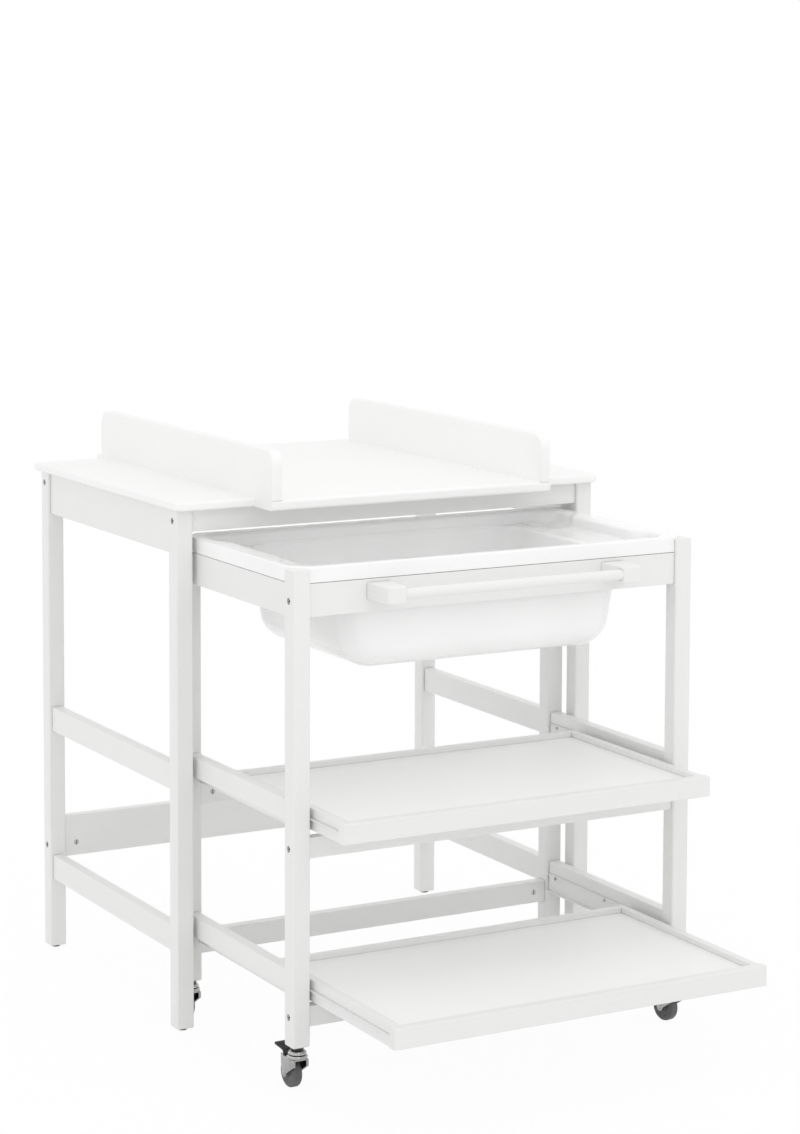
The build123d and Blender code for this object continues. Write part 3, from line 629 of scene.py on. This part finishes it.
def lerp(start: float, end: float, share: float) -> float:
    """Give a value between two others."""
    return start + (end - start) * share


def quarter_turns(steps: int) -> list[float]:
    """Give the angles of a quarter turn in even steps, both ends among them."""
    return [step / steps * QUARTER_TURN for step in range(steps + 1)]


@dataclass(frozen=True)
class Ring:
    """One closed line round the tub, seen from above, with its insets from the rim's edge."""

    end_inset: float
    front_inset: float
    back_inset: float
    corner: float
    roundness: float
    height: float
    waist: float = 0.0

    def towards(self, goal: "Ring", share: float) -> "Ring":
        """Give a ring between this one and another."""
        return Ring(*(lerp(own, other, share) for own, other in zip(astuple(self), astuple(goal))))


@dataclass
class Bathtub:
    """The moulded tub: skirt, rim, ledges with soap dishes at both ends and a deep basin."""

    material: Material
    wall: float = 0.003
    crease: float = 50.0
    rim_round: float = 0.003
    rim_roundness: float = 0.1
    rim_width: float = 0.024
    corner_cut: float = 0.0262
    cut_share: float = 0.6
    skirt_height: float = 0.0252
    inner_round: float = 0.008
    tray_corner: float = 0.031
    tray_roundness: float = 0.5
    tray_depth: float = 0.022
    end_draft: float = 0.001
    side_draft: float = 0.0005
    waist: float = 0.016
    waist_start: float = 0.02
    waist_run: float = 0.045
    waist_fade: float = 1.4
    ledge_slope: float = 0.0035
    ledge_slack: float = 0.0005
    ledge_round: float = 0.006
    ledge_side_round: float = 0.0015
    lip_round: float = 0.007
    lip_margin: float = 0.001
    end_reach: float = 0.001
    basin_top_half: float = 0.271
    basin_bottom_half: float = 0.249
    basin_top_corner: float = 0.042
    basin_bottom_corner: float = 0.045
    basin_least_corner: float = 0.012
    basin_top_inset: float = 0.0275
    basin_front_inset: float = 0.034
    basin_back_inset: float = 0.029
    basin_floor: float = 0.003
    floor_round: float = 0.041
    front_dish: float = 0.078
    back_dish: float = 0.084
    dish_depth: float = 0.006
    dish_inner: float = 0.296
    dish_soft: float = 0.012
    dish_end_gap: float = 0.004
    dish_side_gap: float = 0.003
    round_steps: int = 5
    ledge_steps: int = 13
    wall_steps: int = 6
    floor_steps: int = 9
    corner_points: int = 8
    long_points: int = 18
    short_points: int = 48
    low: Vector = field(init=False)
    high: Vector = field(init=False)

    def __post_init__(self) -> None:
        """Take the tub's place from its CAD node."""
        self.low, self.high = (Vector(corner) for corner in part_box("bathtub"))

    def draw_in(self, y: float) -> float:
        """Tell how far the tray's end wall is drawn in.

        Args:
            y: The place along the wall.

        Returns:
            A share from 0 at its corners to 1 between the dishes.
        """
        front = self.low.y + self.rim_width + self.front_dish - self.waist_start
        back = self.high.y - self.rim_width - self.back_dish + self.waist_start
        return min(smooth_step((y - front) / self.waist_run), smooth_step((back - y) / self.waist_run))

    def sink(self, x: float, y: float) -> float:
        """Tell how deep the soap dish is at a place on a ledge.

        Args:
            x: The place across the tub.
            y: The place from front to back.

        Returns:
            The depth in metres.
        """
        end = self.high.x - self.rim_width
        front = y - self.low.y - self.rim_width
        back = self.high.y - self.rim_width - y
        across, near, far = (
            smooth_step((distance - gap) / self.dish_soft) * smooth_step((length - distance) / self.dish_soft)
            for distance, gap, length in (
                (end - abs(x), self.dish_end_gap, end - self.dish_inner),
                (front, self.dish_side_gap, self.front_dish),
                (back, self.dish_side_gap, self.back_dish),
            )
        )
        return self.dish_depth * across * max(near, far)

    def outline(self, ring: Ring) -> list[Vector]:
        """Give the places of one ring's corners, always as many.

        Args:
            ring: The ring's sizes.

        Returns:
            The places, from the front left corner round by the front.
        """
        half = self.high.x - ring.end_inset
        front = self.low.y + ring.front_inset
        back = self.high.y - ring.back_inset
        tips = [
            (Vector((-half, front)), Vector((0, 1))),
            (Vector((half, front)), Vector((-1, 0))),
            (Vector((half, back)), Vector((0, -1))),
            (Vector((-half, back)), Vector((1, 0))),
        ]
        flat = []
        for index, (tip, before) in enumerate(tips):
            next_tip, next_before = tips[(index + 1) % len(tips)]
            after = -next_before
            start = tip + before * ring.corner
            end = tip + after * ring.corner
            centre = end + before * ring.corner
            for turn in quarter_turns(self.corner_points):
                arc = centre - (after * math.cos(turn) + before * math.sin(turn)) * ring.corner
                flat.append(start.lerp(end, turn / QUARTER_TURN).lerp(arc, ring.roundness))
            goal = next_tip + next_before * ring.corner
            count = self.short_points if index % 2 else self.long_points
            flat.extend(end.lerp(goal, step / count) for step in range(1, count))
        placed = []
        for x, y in flat:
            if ring.waist and abs(x) > half - self.end_reach:
                x -= math.copysign(ring.waist * self.draw_in(y), x)
            placed.append(Vector((x, y, ring.height)))
        return placed

    def tray_rings(self) -> list[Ring]:
        """Give the rings of the rim and of the tray's wall, which is rounded at its top and foot.

        Returns:
            The rings, from the rim's outer edge to the ledges.
        """
        turns = quarter_turns(self.round_steps)
        made = []
        for turn in turns:
            inset = self.rim_round * (1 - math.cos(turn))
            height = self.high.z - self.rim_round * (1 - math.sin(turn))
            corner = self.corner_cut - self.cut_share * inset
            made.append(Ring(inset, inset, inset, corner, self.rim_roundness, height))
        for turn in turns:
            inset = self.rim_width - self.inner_round * (1 - math.sin(turn))
            height = self.high.z - self.inner_round * (1 - math.cos(turn))
            corner = self.tray_corner + self.rim_width - inset
            made.append(Ring(inset, inset, inset, corner, self.tray_roundness, height, self.waist))
        foot = self.high.z - self.tray_depth + self.ledge_round
        for turn in turns:
            bend = 1 - math.cos(turn)
            end = self.rim_width + self.end_draft + self.ledge_round * bend
            side = self.rim_width + self.side_draft + self.ledge_side_round * bend
            height = foot - self.ledge_round * math.sin(turn)
            made.append(Ring(end, side, side, self.tray_corner, self.tray_roundness, height, self.waist))
        return made

    def ledge_rings(self, start: Ring, lip: Ring) -> list[Ring]:
        """Give the rings across the sloped ledges.

        Args:
            start: The ring at the foot of the tray's wall.
            lip: The ring at the ledges' inner end.

        Returns:
            The rings between them, the last one too.
        """
        made = []
        for step in range(1, self.ledge_steps + 1):
            share = step / self.ledge_steps
            made.append(replace(
                start.towards(lip, share),
                corner=lerp(start.corner, lip.corner, smooth_step(share)),
                roundness=lerp(start.roundness, lip.roundness, smooth_step(share)),
                waist=start.waist * (1 - smooth_step(share * self.waist_fade)),
            ))
        return made

    def basin_rings(self, top: Ring, bottom: Ring) -> list[Ring]:
        """Give the rings of the basin's sloped wall and of its rounded foot.

        Args:
            top: The ring at the wall's top.
            bottom: The ring where the wall's slope would meet the floor.

        Returns:
            The rings, from there to the floor.
        """
        depth = top.height - bottom.height
        fall = (depth - self.floor_round) / depth / self.wall_steps
        made = [top.towards(bottom, fall * step) for step in range(1, self.wall_steps + 1)]
        for turn in quarter_turns(self.floor_steps)[1:]:
            shrink = self.floor_round * (1 - math.cos(turn))
            wall = top.towards(bottom, 1 - self.floor_round * (1 - math.sin(turn)) / depth)
            made.append(replace(
                wall,
                end_inset=wall.end_inset + shrink,
                front_inset=wall.front_inset + shrink,
                back_inset=wall.back_inset + shrink,
                corner=max(self.basin_least_corner, wall.corner - shrink),
            ))
        return made

    def rings(self) -> list[Ring]:
        """Give all rings.

        Returns:
            The rings, from the rim's outer edge to the basin's floor.
        """
        made = self.tray_rings()
        inset, corner = self.basin_top_inset, self.basin_top_corner
        side = inset - self.lip_margin
        end = self.high.x - self.basin_top_half
        height = made[-1].height - self.ledge_slope
        lip = Ring(end - self.lip_round, side, side, corner + self.lip_round, 1.0, height)
        top = Ring(end, inset, inset, corner, 1.0, height - self.lip_round)
        end = self.high.x - self.basin_bottom_half
        insets = (end, self.basin_front_inset, self.basin_back_inset)
        bottom = Ring(*insets, self.basin_bottom_corner, 1.0, self.low.z + self.basin_floor)
        made += self.ledge_rings(made[-1], lip)
        for turn in quarter_turns(self.round_steps)[1:]:
            drop = self.lip_round * (1 - math.cos(turn))
            made.append(replace(lip.towards(top, math.sin(turn)), height=height - drop))
        return made + self.basin_rings(top, bottom)

    def sheet(self) -> BMesh:
        """Join the rings to a sheet, close it with the basin's floor and hang the skirt on it.

        Returns:
            The sheet, with its faces turned inwards and up.
        """
        builder = bmesh.new()
        rings = self.rings()
        places = self.outline(rings[0])
        line = bmesh.ops.create_circle(builder, segments=len(places), radius=self.high.x)["verts"]
        for corner, place in zip(line, places):
            corner.co = place
        hem = [edge for edge in self.loop_edges(line) if self.runs_straight(edge)]
        ledge_height = self.high.z - self.tray_depth
        for ring in rings[1:]:
            fresh = set(new_verts(bmesh.ops.extrude_edge_only(builder, edges=self.loop_edges(line))))
            line = [
                next(end for edge in corner.link_edges if (end := edge.other_vert(corner)) in fresh)
                for corner in line
            ]
            on_ledge = abs(ring.height - ledge_height) < self.ledge_slope + self.ledge_slack
            for corner, place in zip(line, self.outline(ring)):
                corner.co = place
                if on_ledge:
                    corner.co.z -= self.sink(place.x, place.y)
        bmesh.ops.contextual_create(builder, geom=self.loop_edges(line))
        for corner in new_verts(bmesh.ops.extrude_edge_only(builder, edges=hem)):
            corner.co.z = self.high.z - self.skirt_height
        bmesh.ops.recalc_face_normals(builder, faces=builder.faces)
        floor = min(builder.faces, key=lambda face: face.calc_center_median().z)
        if floor.normal.z < 0:
            bmesh.ops.reverse_faces(builder, faces=builder.faces)
        return builder

    def build(self) -> None:
        """Thicken the sheet inwards and show it as the tub."""
        builder = self.sheet()
        sheet = bpy.data.meshes.new("bathtub_sheet")
        builder.to_mesh(sheet)
        builder.free()
        piece = shown("bathtub_shell", sheet)
        thick = piece.modifiers.new("wall", "SOLIDIFY")
        thick.thickness = self.wall
        thick.offset = -1.0
        thick.use_even_offset = True
        solid = piece.evaluated_get(bpy.context.evaluated_depsgraph_get())
        mesh = bpy.data.meshes.new_from_object(solid)
        mesh.name = "bathtub_shell"
        piece.modifiers.clear()
        piece.data = mesh
        mesh.shade_smooth()
        mesh.set_sharp_from_angle(angle=math.radians(self.crease))
        dress(piece, self.material)
        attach(piece, "trolley")
        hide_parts("bathtub")
        log.info("bathtub_shell: %d faces", len(mesh.polygons))

    @staticmethod
    def runs_straight(edge: BMEdge) -> bool:
        """Tell whether an edge lies along an axis, as the rim's do between its cut corners."""
        run = edge.verts[1].co - edge.verts[0].co
        return min(abs(run.x), abs(run.y)) < PLANE_REACH

    @staticmethod
    def loop_edges(line: Sequence[BMVert]) -> list[BMEdge]:
        """Give the edges of a closed line of corners."""
        return [
            next(edge for edge in corner.link_edges if edge.other_vert(corner) is line[index - 1])
            for index, corner in enumerate(line)
        ]


@dataclass
class Caster:
    """One swivel caster: fork, wheel, and on the front ones a brake lever."""

    place: str
    side: Side
    axis_y: float
    turn: float
    has_brake: bool
    finishes: Finishes
    axis_x: float = 0.371
    trail: float = 0.02
    wheel_radius: float = 0.025
    wheel_half: float = 0.0085
    tread_round: float = 0.0045
    seam_half: float = 0.0006
    seam_depth: float = 0.0002
    fork_half: float = 0.0125
    sheet: float = 0.002
    front: float = 0.013
    back: float = 0.024
    waist_height: float = 0.042
    tip_radius: float = 0.007
    tip_steps: int = 8
    arm_round: float = 0.0007
    arm_tuck: float = 0.001
    lug: float = 0.002
    plate_low: float = 0.0515
    plate_high: float = 0.054
    plate_gap: float = 0.0004
    plate_round: float = 0.001
    brake_notch: float = 0.0045
    flange_sheet: float = 0.0012
    flange_width: float = 0.0022
    flange_foot: float = 0.0285
    flange_reach: float = 0.012
    flange_lean: float = 0.0004
    pedal_start: Pair = (0.0325, 0.0575)
    pedal_end: Pair = (0.0548, 0.0656)
    pedal_half: float = 0.0095
    pedal_thickness: float = 0.0028
    pedal_round: float = 0.0009
    rib_radius: float = 0.0006
    rib_length: float = 0.017
    rib_growth: float = 0.006
    pin_place: Pair = (0.028, 0.054)
    neck_half: float = 0.0098

    def matrix(self) -> Matrix:
        """Give the caster's own frame, which has x along the trail and z up the stem."""
        foot = Matrix.Translation((self.side.value * self.axis_x, self.axis_y, 0))
        return foot @ Matrix.Rotation(QUARTER_TURN - self.turn, 4, "Z")

    def arm_profile(self) -> list[Pair]:
        """Give the fork arm's outline seen from the side.

        Returns:
            Its corners, as places along and up.
        """
        tip = []
        for step in range(self.tip_steps + 1):
            angle = math.pi * (1 + step / self.tip_steps)
            tip.append((
                self.trail + self.tip_radius * math.cos(angle),
                self.wheel_radius + self.tip_radius * math.sin(angle),
            ))
        rear = self.back + self.tip_radius
        return [
            (-self.front, self.plate_high - self.arm_tuck),
            (-self.front, self.waist_height),
            *tip,
            (rear, self.waist_height),
            (rear, self.plate_high + self.lug),
            (self.back, self.plate_high + self.lug),
            (self.back - self.lug, self.plate_high - self.arm_tuck),
        ]

    def build_fork(self) -> None:
        """Make the fork with its lower race and axle heads."""
        builder = bmesh.new()
        for way in (-1, 1):
            outer = way * (self.fork_half + self.sheet)
            corners = [builder.verts.new((along, outer, up)) for along, up in self.arm_profile()]
            arm = builder.faces.new(corners)
            verts = new_verts(bmesh.ops.extrude_face_region(builder, geom=[arm], use_keep_orig=True))
            bmesh.ops.translate(builder, verts=verts, vec=(0, -way * self.sheet, 0))
            rims = [
                edge
                for edge in builder.edges
                if all(abs(end.co.y - outer) < PLANE_REACH for end in edge.verts)
            ]
            round_edges(builder, rims, self.arm_round, segments=2)
            self.add_flange(builder, way)
            turned(builder, AXLE_HEAD, Vector((self.trail, outer, self.wheel_radius)), ACROSS * way, 28)
        self.add_plate(builder)
        turned(builder, LOWER_RACE, UPWARD * self.plate_high, UPWARD, 56)
        bmesh.ops.transform(builder, matrix=self.matrix(), verts=builder.verts)
        piece = finish_piece(
            builder, f"fork_{self.place}", f"caster_{self.place}", "caster_chrome", self.finishes
        )
        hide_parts(f"caster_fork_{self.place}")

    def add_flange(self, builder: BMesh, way: int) -> None:
        """Add the bent-in front edge of a fork arm.

        Args:
            builder: The fork's bmesh.
            way: The arm's side, -1 or 1.
        """
        line = (
            (-self.front, self.plate_high - self.lug),
            (-self.front, self.waist_height),
            (self.trail - self.flange_reach, self.flange_foot),
        )
        outer = way * (self.fork_half + self.sheet)
        corners = [builder.verts.new((along, outer, up)) for along, up in line]
        edges = [builder.edges.new(pair) for pair in zip(corners, corners[1:])]
        verts = new_verts(bmesh.ops.extrude_edge_only(builder, edges=edges))
        for corner in verts:
            corner.co.y = way * (self.fork_half - self.flange_width)
            corner.co.x += self.flange_lean
        sheet = set(corners) | set(verts)
        faces = [face for face in builder.faces if set(face.verts) <= sheet]
        thick = new_verts(bmesh.ops.solidify(builder, geom=faces, thickness=-self.flange_sheet))
        for corner in thick + verts + corners:
            corner.co.x = max(corner.co.x, -self.front)

    def add_plate(self, builder: BMesh) -> None:
        """Add the fork's top plate.

        Args:
            builder: The fork's bmesh.
        """
        back = self.back - (self.brake_notch if self.has_brake else 0.0)
        half = self.fork_half + self.sheet - self.plate_gap
        plate = bmesh.ops.create_cube(builder, size=1.0)["verts"]
        for corner in plate:
            corner.co.x = back if corner.co.x > 0 else -self.front
            corner.co.y = math.copysign(half, corner.co.y)
            corner.co.z = self.plate_high if corner.co.z > 0 else self.plate_low
        edges = {edge for corner in plate for edge in corner.link_edges}
        upper = [edge for edge in edges if all(end.co.z > self.plate_low for end in edge.verts)]
        round_edges(builder, upper, self.plate_round)

    def build_wheel(self) -> None:
        """Make the wheel: a rounded tread on a dished hub."""
        face = [(radius, self.wheel_half - depth) for radius, depth in WHEEL_DISH]
        for turn in quarter_turns(6):
            radius = self.wheel_radius - self.tread_round * (1 - math.sin(turn))
            face.append((radius, self.wheel_half - self.tread_round * (1 - math.cos(turn))))
        profile = [
            *((radius, -height) for radius, height in face),
            (self.wheel_radius, -self.seam_half),
            (self.wheel_radius - self.seam_depth, 0.0),
            (self.wheel_radius, self.seam_half),
            *reversed(face),
        ]
        profile.append(profile[0])
        builder = bmesh.new()
        turned(builder, profile, Vector((self.trail, 0, self.wheel_radius)), ACROSS, 64)
        bmesh.ops.transform(builder, matrix=self.matrix(), verts=builder.verts)
        piece = finish_piece(
            builder, f"tyre_{self.place}", f"wheel_{self.place}", "wheel_grey", self.finishes
        )
        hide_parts(f"caster_wheel_{self.place}")

    def build_lever(self) -> None:
        """Make the brake lever: a hub on its pin, a neck and a flared, ribbed pedal."""
        builder = bmesh.new()
        self.add_pedal(builder)
        pin_x, pin_z = self.pin_place
        turned(builder, BRAKE_PIN, Vector((pin_x, 0, pin_z)), ACROSS, 32)
        self.add_neck(builder)
        bmesh.ops.transform(builder, matrix=self.matrix(), verts=builder.verts)
        piece = finish_piece(
            builder, f"pedal_{self.place}", f"brake_{self.place}", "lever_grey", self.finishes
        )
        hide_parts(f"brake_lever_{self.place}")

    def add_pedal(self, builder: BMesh) -> None:
        """Add the pedal, which flares towards its end, and its three ribs.

        Args:
            builder: The lever's bmesh.
        """
        start, end = Vector(self.pedal_start), Vector(self.pedal_end)
        way = (end - start).normalized()
        rise = Vector((-way.y, way.x)) * self.pedal_thickness
        station_shares = ((0.0, 1.0), (0.35, 1.179), (0.7, 1.4526), (0.9, 1.5579), (1.0, 1.3895))
        edge = [(start.lerp(end, share), self.pedal_half * flare) for share, flare in station_shares]
        outline = [(place.x, -half, place.y) for place, half in edge]
        outline += [(place.x, half, place.y) for place, half in reversed(edge)]
        pedal = builder.faces.new([builder.verts.new(place) for place in outline])
        tops = new_verts(bmesh.ops.extrude_face_region(builder, geom=[pedal], use_keep_orig=True))
        bmesh.ops.translate(builder, verts=tops, vec=(rise.x, 0, rise.y))
        round_edges(builder, list(builder.edges), self.pedal_round)
        rib_shares = (0.45, 0.62, 0.79)
        for share in rib_shares:
            place = start.lerp(end, share) + rise
            rib = bmesh.ops.create_cone(
                builder,
                cap_ends=True,
                segments=12,
                radius1=self.rib_radius,
                radius2=self.rib_radius,
                depth=self.rib_length + share * self.rib_growth,
            )["verts"]
            bmesh.ops.rotate(builder, verts=rib, cent=(0, 0, 0), matrix=Matrix.Rotation(QUARTER_TURN, 3, "X"))
            bmesh.ops.translate(builder, verts=rib, vec=(place.x, 0, place.y))

    def add_neck(self, builder: BMesh) -> None:
        """Add the neck between the pin's hub and the pedal.

        Args:
            builder: The lever's bmesh.
        """
        near, far = (0.0275, 0.0525, 0.0562), (0.0335, 0.0578, 0.0604)
        for corner in bmesh.ops.create_cube(builder, size=1.0)["verts"]:
            along, low, high = far if corner.co.x > 0 else near
            height = high if corner.co.z > 0 else low
            corner.co = Vector((along, math.copysign(self.neck_half, corner.co.y), height))

    def build(self) -> None:
        """Make the caster's moving pieces."""
        self.build_fork()
        self.build_wheel()
        if self.has_brake:
            self.build_lever()


@dataclass
class CasterTops:
    """The fixed races and collars of all four casters, under the trolley's legs."""

    places: Sequence[Pair]
    finishes: Finishes

    def build(self) -> None:
        """Make the domed races and the dark collars above them; their dark colour is partly the collars' own
        and partly painted shade of the gap under the legs.
        """
        domes = bmesh.new()
        collars = bmesh.new()
        for x, y in self.places:
            foot = Vector((x, y, 0))
            turned(domes, UPPER_RACE, foot, UPWARD, 56)
            turned(collars, COLLAR, foot, UPWARD, 6)
        piece = finish_piece(domes, "caster_domes", "trolley", "caster_chrome", self.finishes)
        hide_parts("caster_stems")
        # Painted shade: the collars' dark colour partly stands in for the shade between leg and race.
        finish_piece(collars, "caster_collars", "trolley", "lever_grey", self.finishes, crease=25)


@dataclass
class Glides:
    """The four domed glides under the table's legs."""

    finishes: Finishes
    radius: float = 0.009
    height: float = 0.005

    def build(self) -> None:
        """Make the glides in one piece."""
        builder = bmesh.new()
        profile = [(out * self.radius, up * self.height) for out, up in GLIDE_SHARES]
        for end in ("front", "rear"):
            for side in Side:
                low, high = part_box(f"table_leg_{end}_{side.name.lower()}")
                middle = (Vector(low) + Vector(high)) / 2
                turned(builder, profile, Vector((middle.x, middle.y, 0)), UPWARD, 40)
        piece = finish_piece(builder, "glide_domes", "table", "glide_plastic", self.finishes)
        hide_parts("foot_glides")


@dataclass
class Woodwork:
    """The finishes of the painted nodes, by the way their grain runs."""

    along: dict[Grain, Material]
    board: Material

    def grain_of(self, name: str) -> Grain:
        """Tell how the grain of a board or rail runs.

        Args:
            name: The node's name.

        Returns:
            The axis.
        """
        if "leg" in name:
            return Grain.ALONG_Z
        if "side" in name or name.endswith(("_rim", "_runners")):
            return Grain.ALONG_Y
        return Grain.ALONG_X

    def apply(self, names: Sequence[str]) -> None:
        """Give every painted node its finish.

        Args:
            names: The nodes' names.
        """
        for name in names:
            finish = self.board if name in SMOOTH_BOARDS else self.along[self.grain_of(name)]
            dress(bpy.data.objects[name], finish)
            log.info("%s: painted", name)


@dataclass(frozen=True)
class Lamp:
    """A soft square lamp that faces the middle of the object."""

    name: str
    place: Triple
    size: float
    power: float
    target: Triple = (0.0, -0.1, 0.5)

    def build(self) -> None:
        """Hang the lamp, out of the camera's sight."""
        lamp = bpy.data.lights.new(self.name, "AREA")
        lamp.shape = "SQUARE"
        lamp.size = self.size
        lamp.energy = self.power
        hung = shown(self.name, lamp)
        hung.visible_camera = False
        hung.location = self.place
        hung.rotation_mode = "QUATERNION"
        hung.rotation_quaternion = (Vector(self.target) - Vector(self.place)).to_track_quat("-Z", "Y")


@dataclass
class Studio:
    """The pale floor, the soft light and the camera."""

    camera_place: Triple = (-2.4957, -4.5295, 1.6148)
    azimuth: float = 29.047
    pitch: float = 5.264
    roll: float = 0.208
    focal_pixels: float = 2930.9
    frame_pixels: float = 1134.0
    principal_row: float = 370.0
    sensor: float = 36.0
    floor_half: float = 30.0
    floor_glow: float = 0.94
    room_light: float = 0.97
    lamps: tuple[Lamp, ...] = (
        Lamp("lamp_front", (-0.3, -2.9, 2.9), 1.6, 3.0),
        Lamp("lamp_tub", (-0.1, -0.8, 1.75), 0.6, 0.8),
    )

    def build_floor(self) -> None:
        """Make the floor: nearly white where the camera sees it, with the object's soft shadow."""
        builder = bmesh.new()
        bmesh.ops.create_grid(builder, x_segments=1, y_segments=1, size=self.floor_half)
        mesh = bpy.data.meshes.new("floor")
        builder.to_mesh(mesh)
        builder.free()
        floor = shown("floor", mesh)
        material = bpy.data.materials.new("floor_paint")
        nodes = NodeTree(material)
        paint = nodes.add("BsdfDiffuse", Color=(0.97, 0.97, 0.97, 1))
        glow = nodes.add("Emission", Strength=1.0)
        share = nodes.add("Math")
        share.operation = "MULTIPLY"
        share.inputs[1].default_value = self.floor_glow
        nodes.link(nodes.seen_by("Camera", "Glossy"), share.inputs[0])
        nodes.show_mixed(share.outputs["Value"], paint.outputs["BSDF"], glow.outputs["Emission"])
        dress(floor, material)

    def build_world(self) -> None:
        """Make the even light from all round, and the white that is seen behind the object."""
        world = bpy.data.worlds.new("white_room")
        bpy.context.scene.world = world
        nodes = NodeTree(world)
        room = nodes.add("Background", Color=(1, 1, 1, 1), Strength=self.room_light)
        white = nodes.add("Background", Color=(1, 1, 1, 1))
        seen = nodes.seen_by("Camera", "Glossy", "Transmission")
        nodes.show_mixed(seen, room.outputs["Background"], white.outputs["Background"])

    def build_camera(self) -> None:
        """Place the camera, tilted and shifted as the picture's perspective asks."""
        camera = bpy.data.cameras.new("camera")
        camera.sensor_fit = "AUTO"
        camera.sensor_width = self.sensor
        camera.lens = self.focal_pixels / self.frame_pixels * self.sensor
        camera.shift_y = -(self.frame_pixels / 2 - self.principal_row) / self.frame_pixels
        camera.clip_start, camera.clip_end = 0.1, 200.0
        swing = Matrix.Rotation(-math.radians(self.azimuth), 4, "Z")
        tilt = Matrix.Rotation(QUARTER_TURN - math.radians(self.pitch), 4, "X")
        roll = Matrix.Rotation(math.radians(self.roll), 4, "Z")
        stand = shown("camera", camera)
        stand.matrix_world = Matrix.Translation(self.camera_place) @ swing @ tilt @ roll
        bpy.context.scene.camera = stand

    def build(self) -> None:
        """Set the whole studio."""
        bpy.context.scene.view_settings.view_transform = "Standard"
        self.build_floor()
        self.build_world()
        for lamp in self.lamps:
            lamp.build()
        self.build_camera()


def slot_finishes() -> Finishes:
    """Make the finishes of all that isn't painted wood.

    Returns:
        The materials by the record's material slot.
    """
    finishes = {
        "tub_plastic": Moulded("tub_gloss", (0.95, 0.951, 0.948), (0.16, 0.22), coat=0.3),
        "slide_steel": Moulded(
            "coated_steel", (0.86, 0.86, 0.855), (0.3, 0.42),
            skin_scale=1400.0, skin_height=0.00004, flow_height=0.00003,
        ),
        # The chrome gets painted shade in its recesses and painted light on upward faces; the bolts get
        # painted shade that darkens them, deepest in their sockets.
        "caster_chrome": Metal("chrome", (0.4, 0.4, 0.395), (0.1, 0.24), painted_shade_reach=0.01, painted_sky_light=0.5),
        "bolt_steel": Metal("shaded_bolt", (0.52, 0.52, 0.515), (0.25, 0.4), painted_shade_reach=0.0022),
        "wheel_grey": Moulded(
            "grey_tread", (0.115, 0.115, 0.118), (0.45, 0.62), skin_scale=1200.0, skin_height=0.00005
        ),
        "lever_grey": Moulded(
            "dark_lever", (0.035, 0.035, 0.037), (0.35, 0.5), skin_scale=1100.0, skin_height=0.00005
        ),
        "glide_plastic": Moulded("dark_glide", (0.05, 0.048, 0.046), (0.4, 0.55)),
        "dowel_wood": BareBeech("bare_beech"),
    }
    return {slot: finish.make() for slot, finish in finishes.items()}


def build_casters(finishes: Finishes) -> None:
    """Make the four casters, at the turns in which they stand at rest.

    Args:
        finishes: The materials by the record's material slot.
    """
    places = []
    for end, axis_y, degrees in (("front", -0.366, (-1.0, -8.0)), ("rear", 0.048, (-3.0, 3.0))):
        for side, turn in zip(Side, degrees):
            place = f"{end}_{side.name.lower()}"
            caster = Caster(place, side, axis_y, math.radians(turn), end == "front", finishes)
            caster.build()
            places.append((side.value * caster.axis_x, axis_y))
    CasterTops(places, finishes).build()


def main() -> None:
    """Build and dress every piece."""
    logging.basicConfig(level=logging.INFO, format="%(name)s %(message)s")
    slots = {row["node"]: row["material_slot"] for row in frame["record"]["subparts"]}
    finishes = slot_finishes()
    lacquers = {grain: Lacquer(f"lacquer_{grain.name.lower()}", grain).make() for grain in Grain}
    board = BoardCoat("board_coat").make()
    Woodwork(lacquers, board).apply([name for name, slot in slots.items() if slot not in finishes])
    for name, slot in slots.items():
        if slot in finishes:
            dress(bpy.data.objects[name], finishes[slot])
    Bathtub(finishes["tub_plastic"]).build()
    build_casters(finishes)
    Glides(finishes).build()
    Studio().build()


if __name__ == "__main__":
    main()
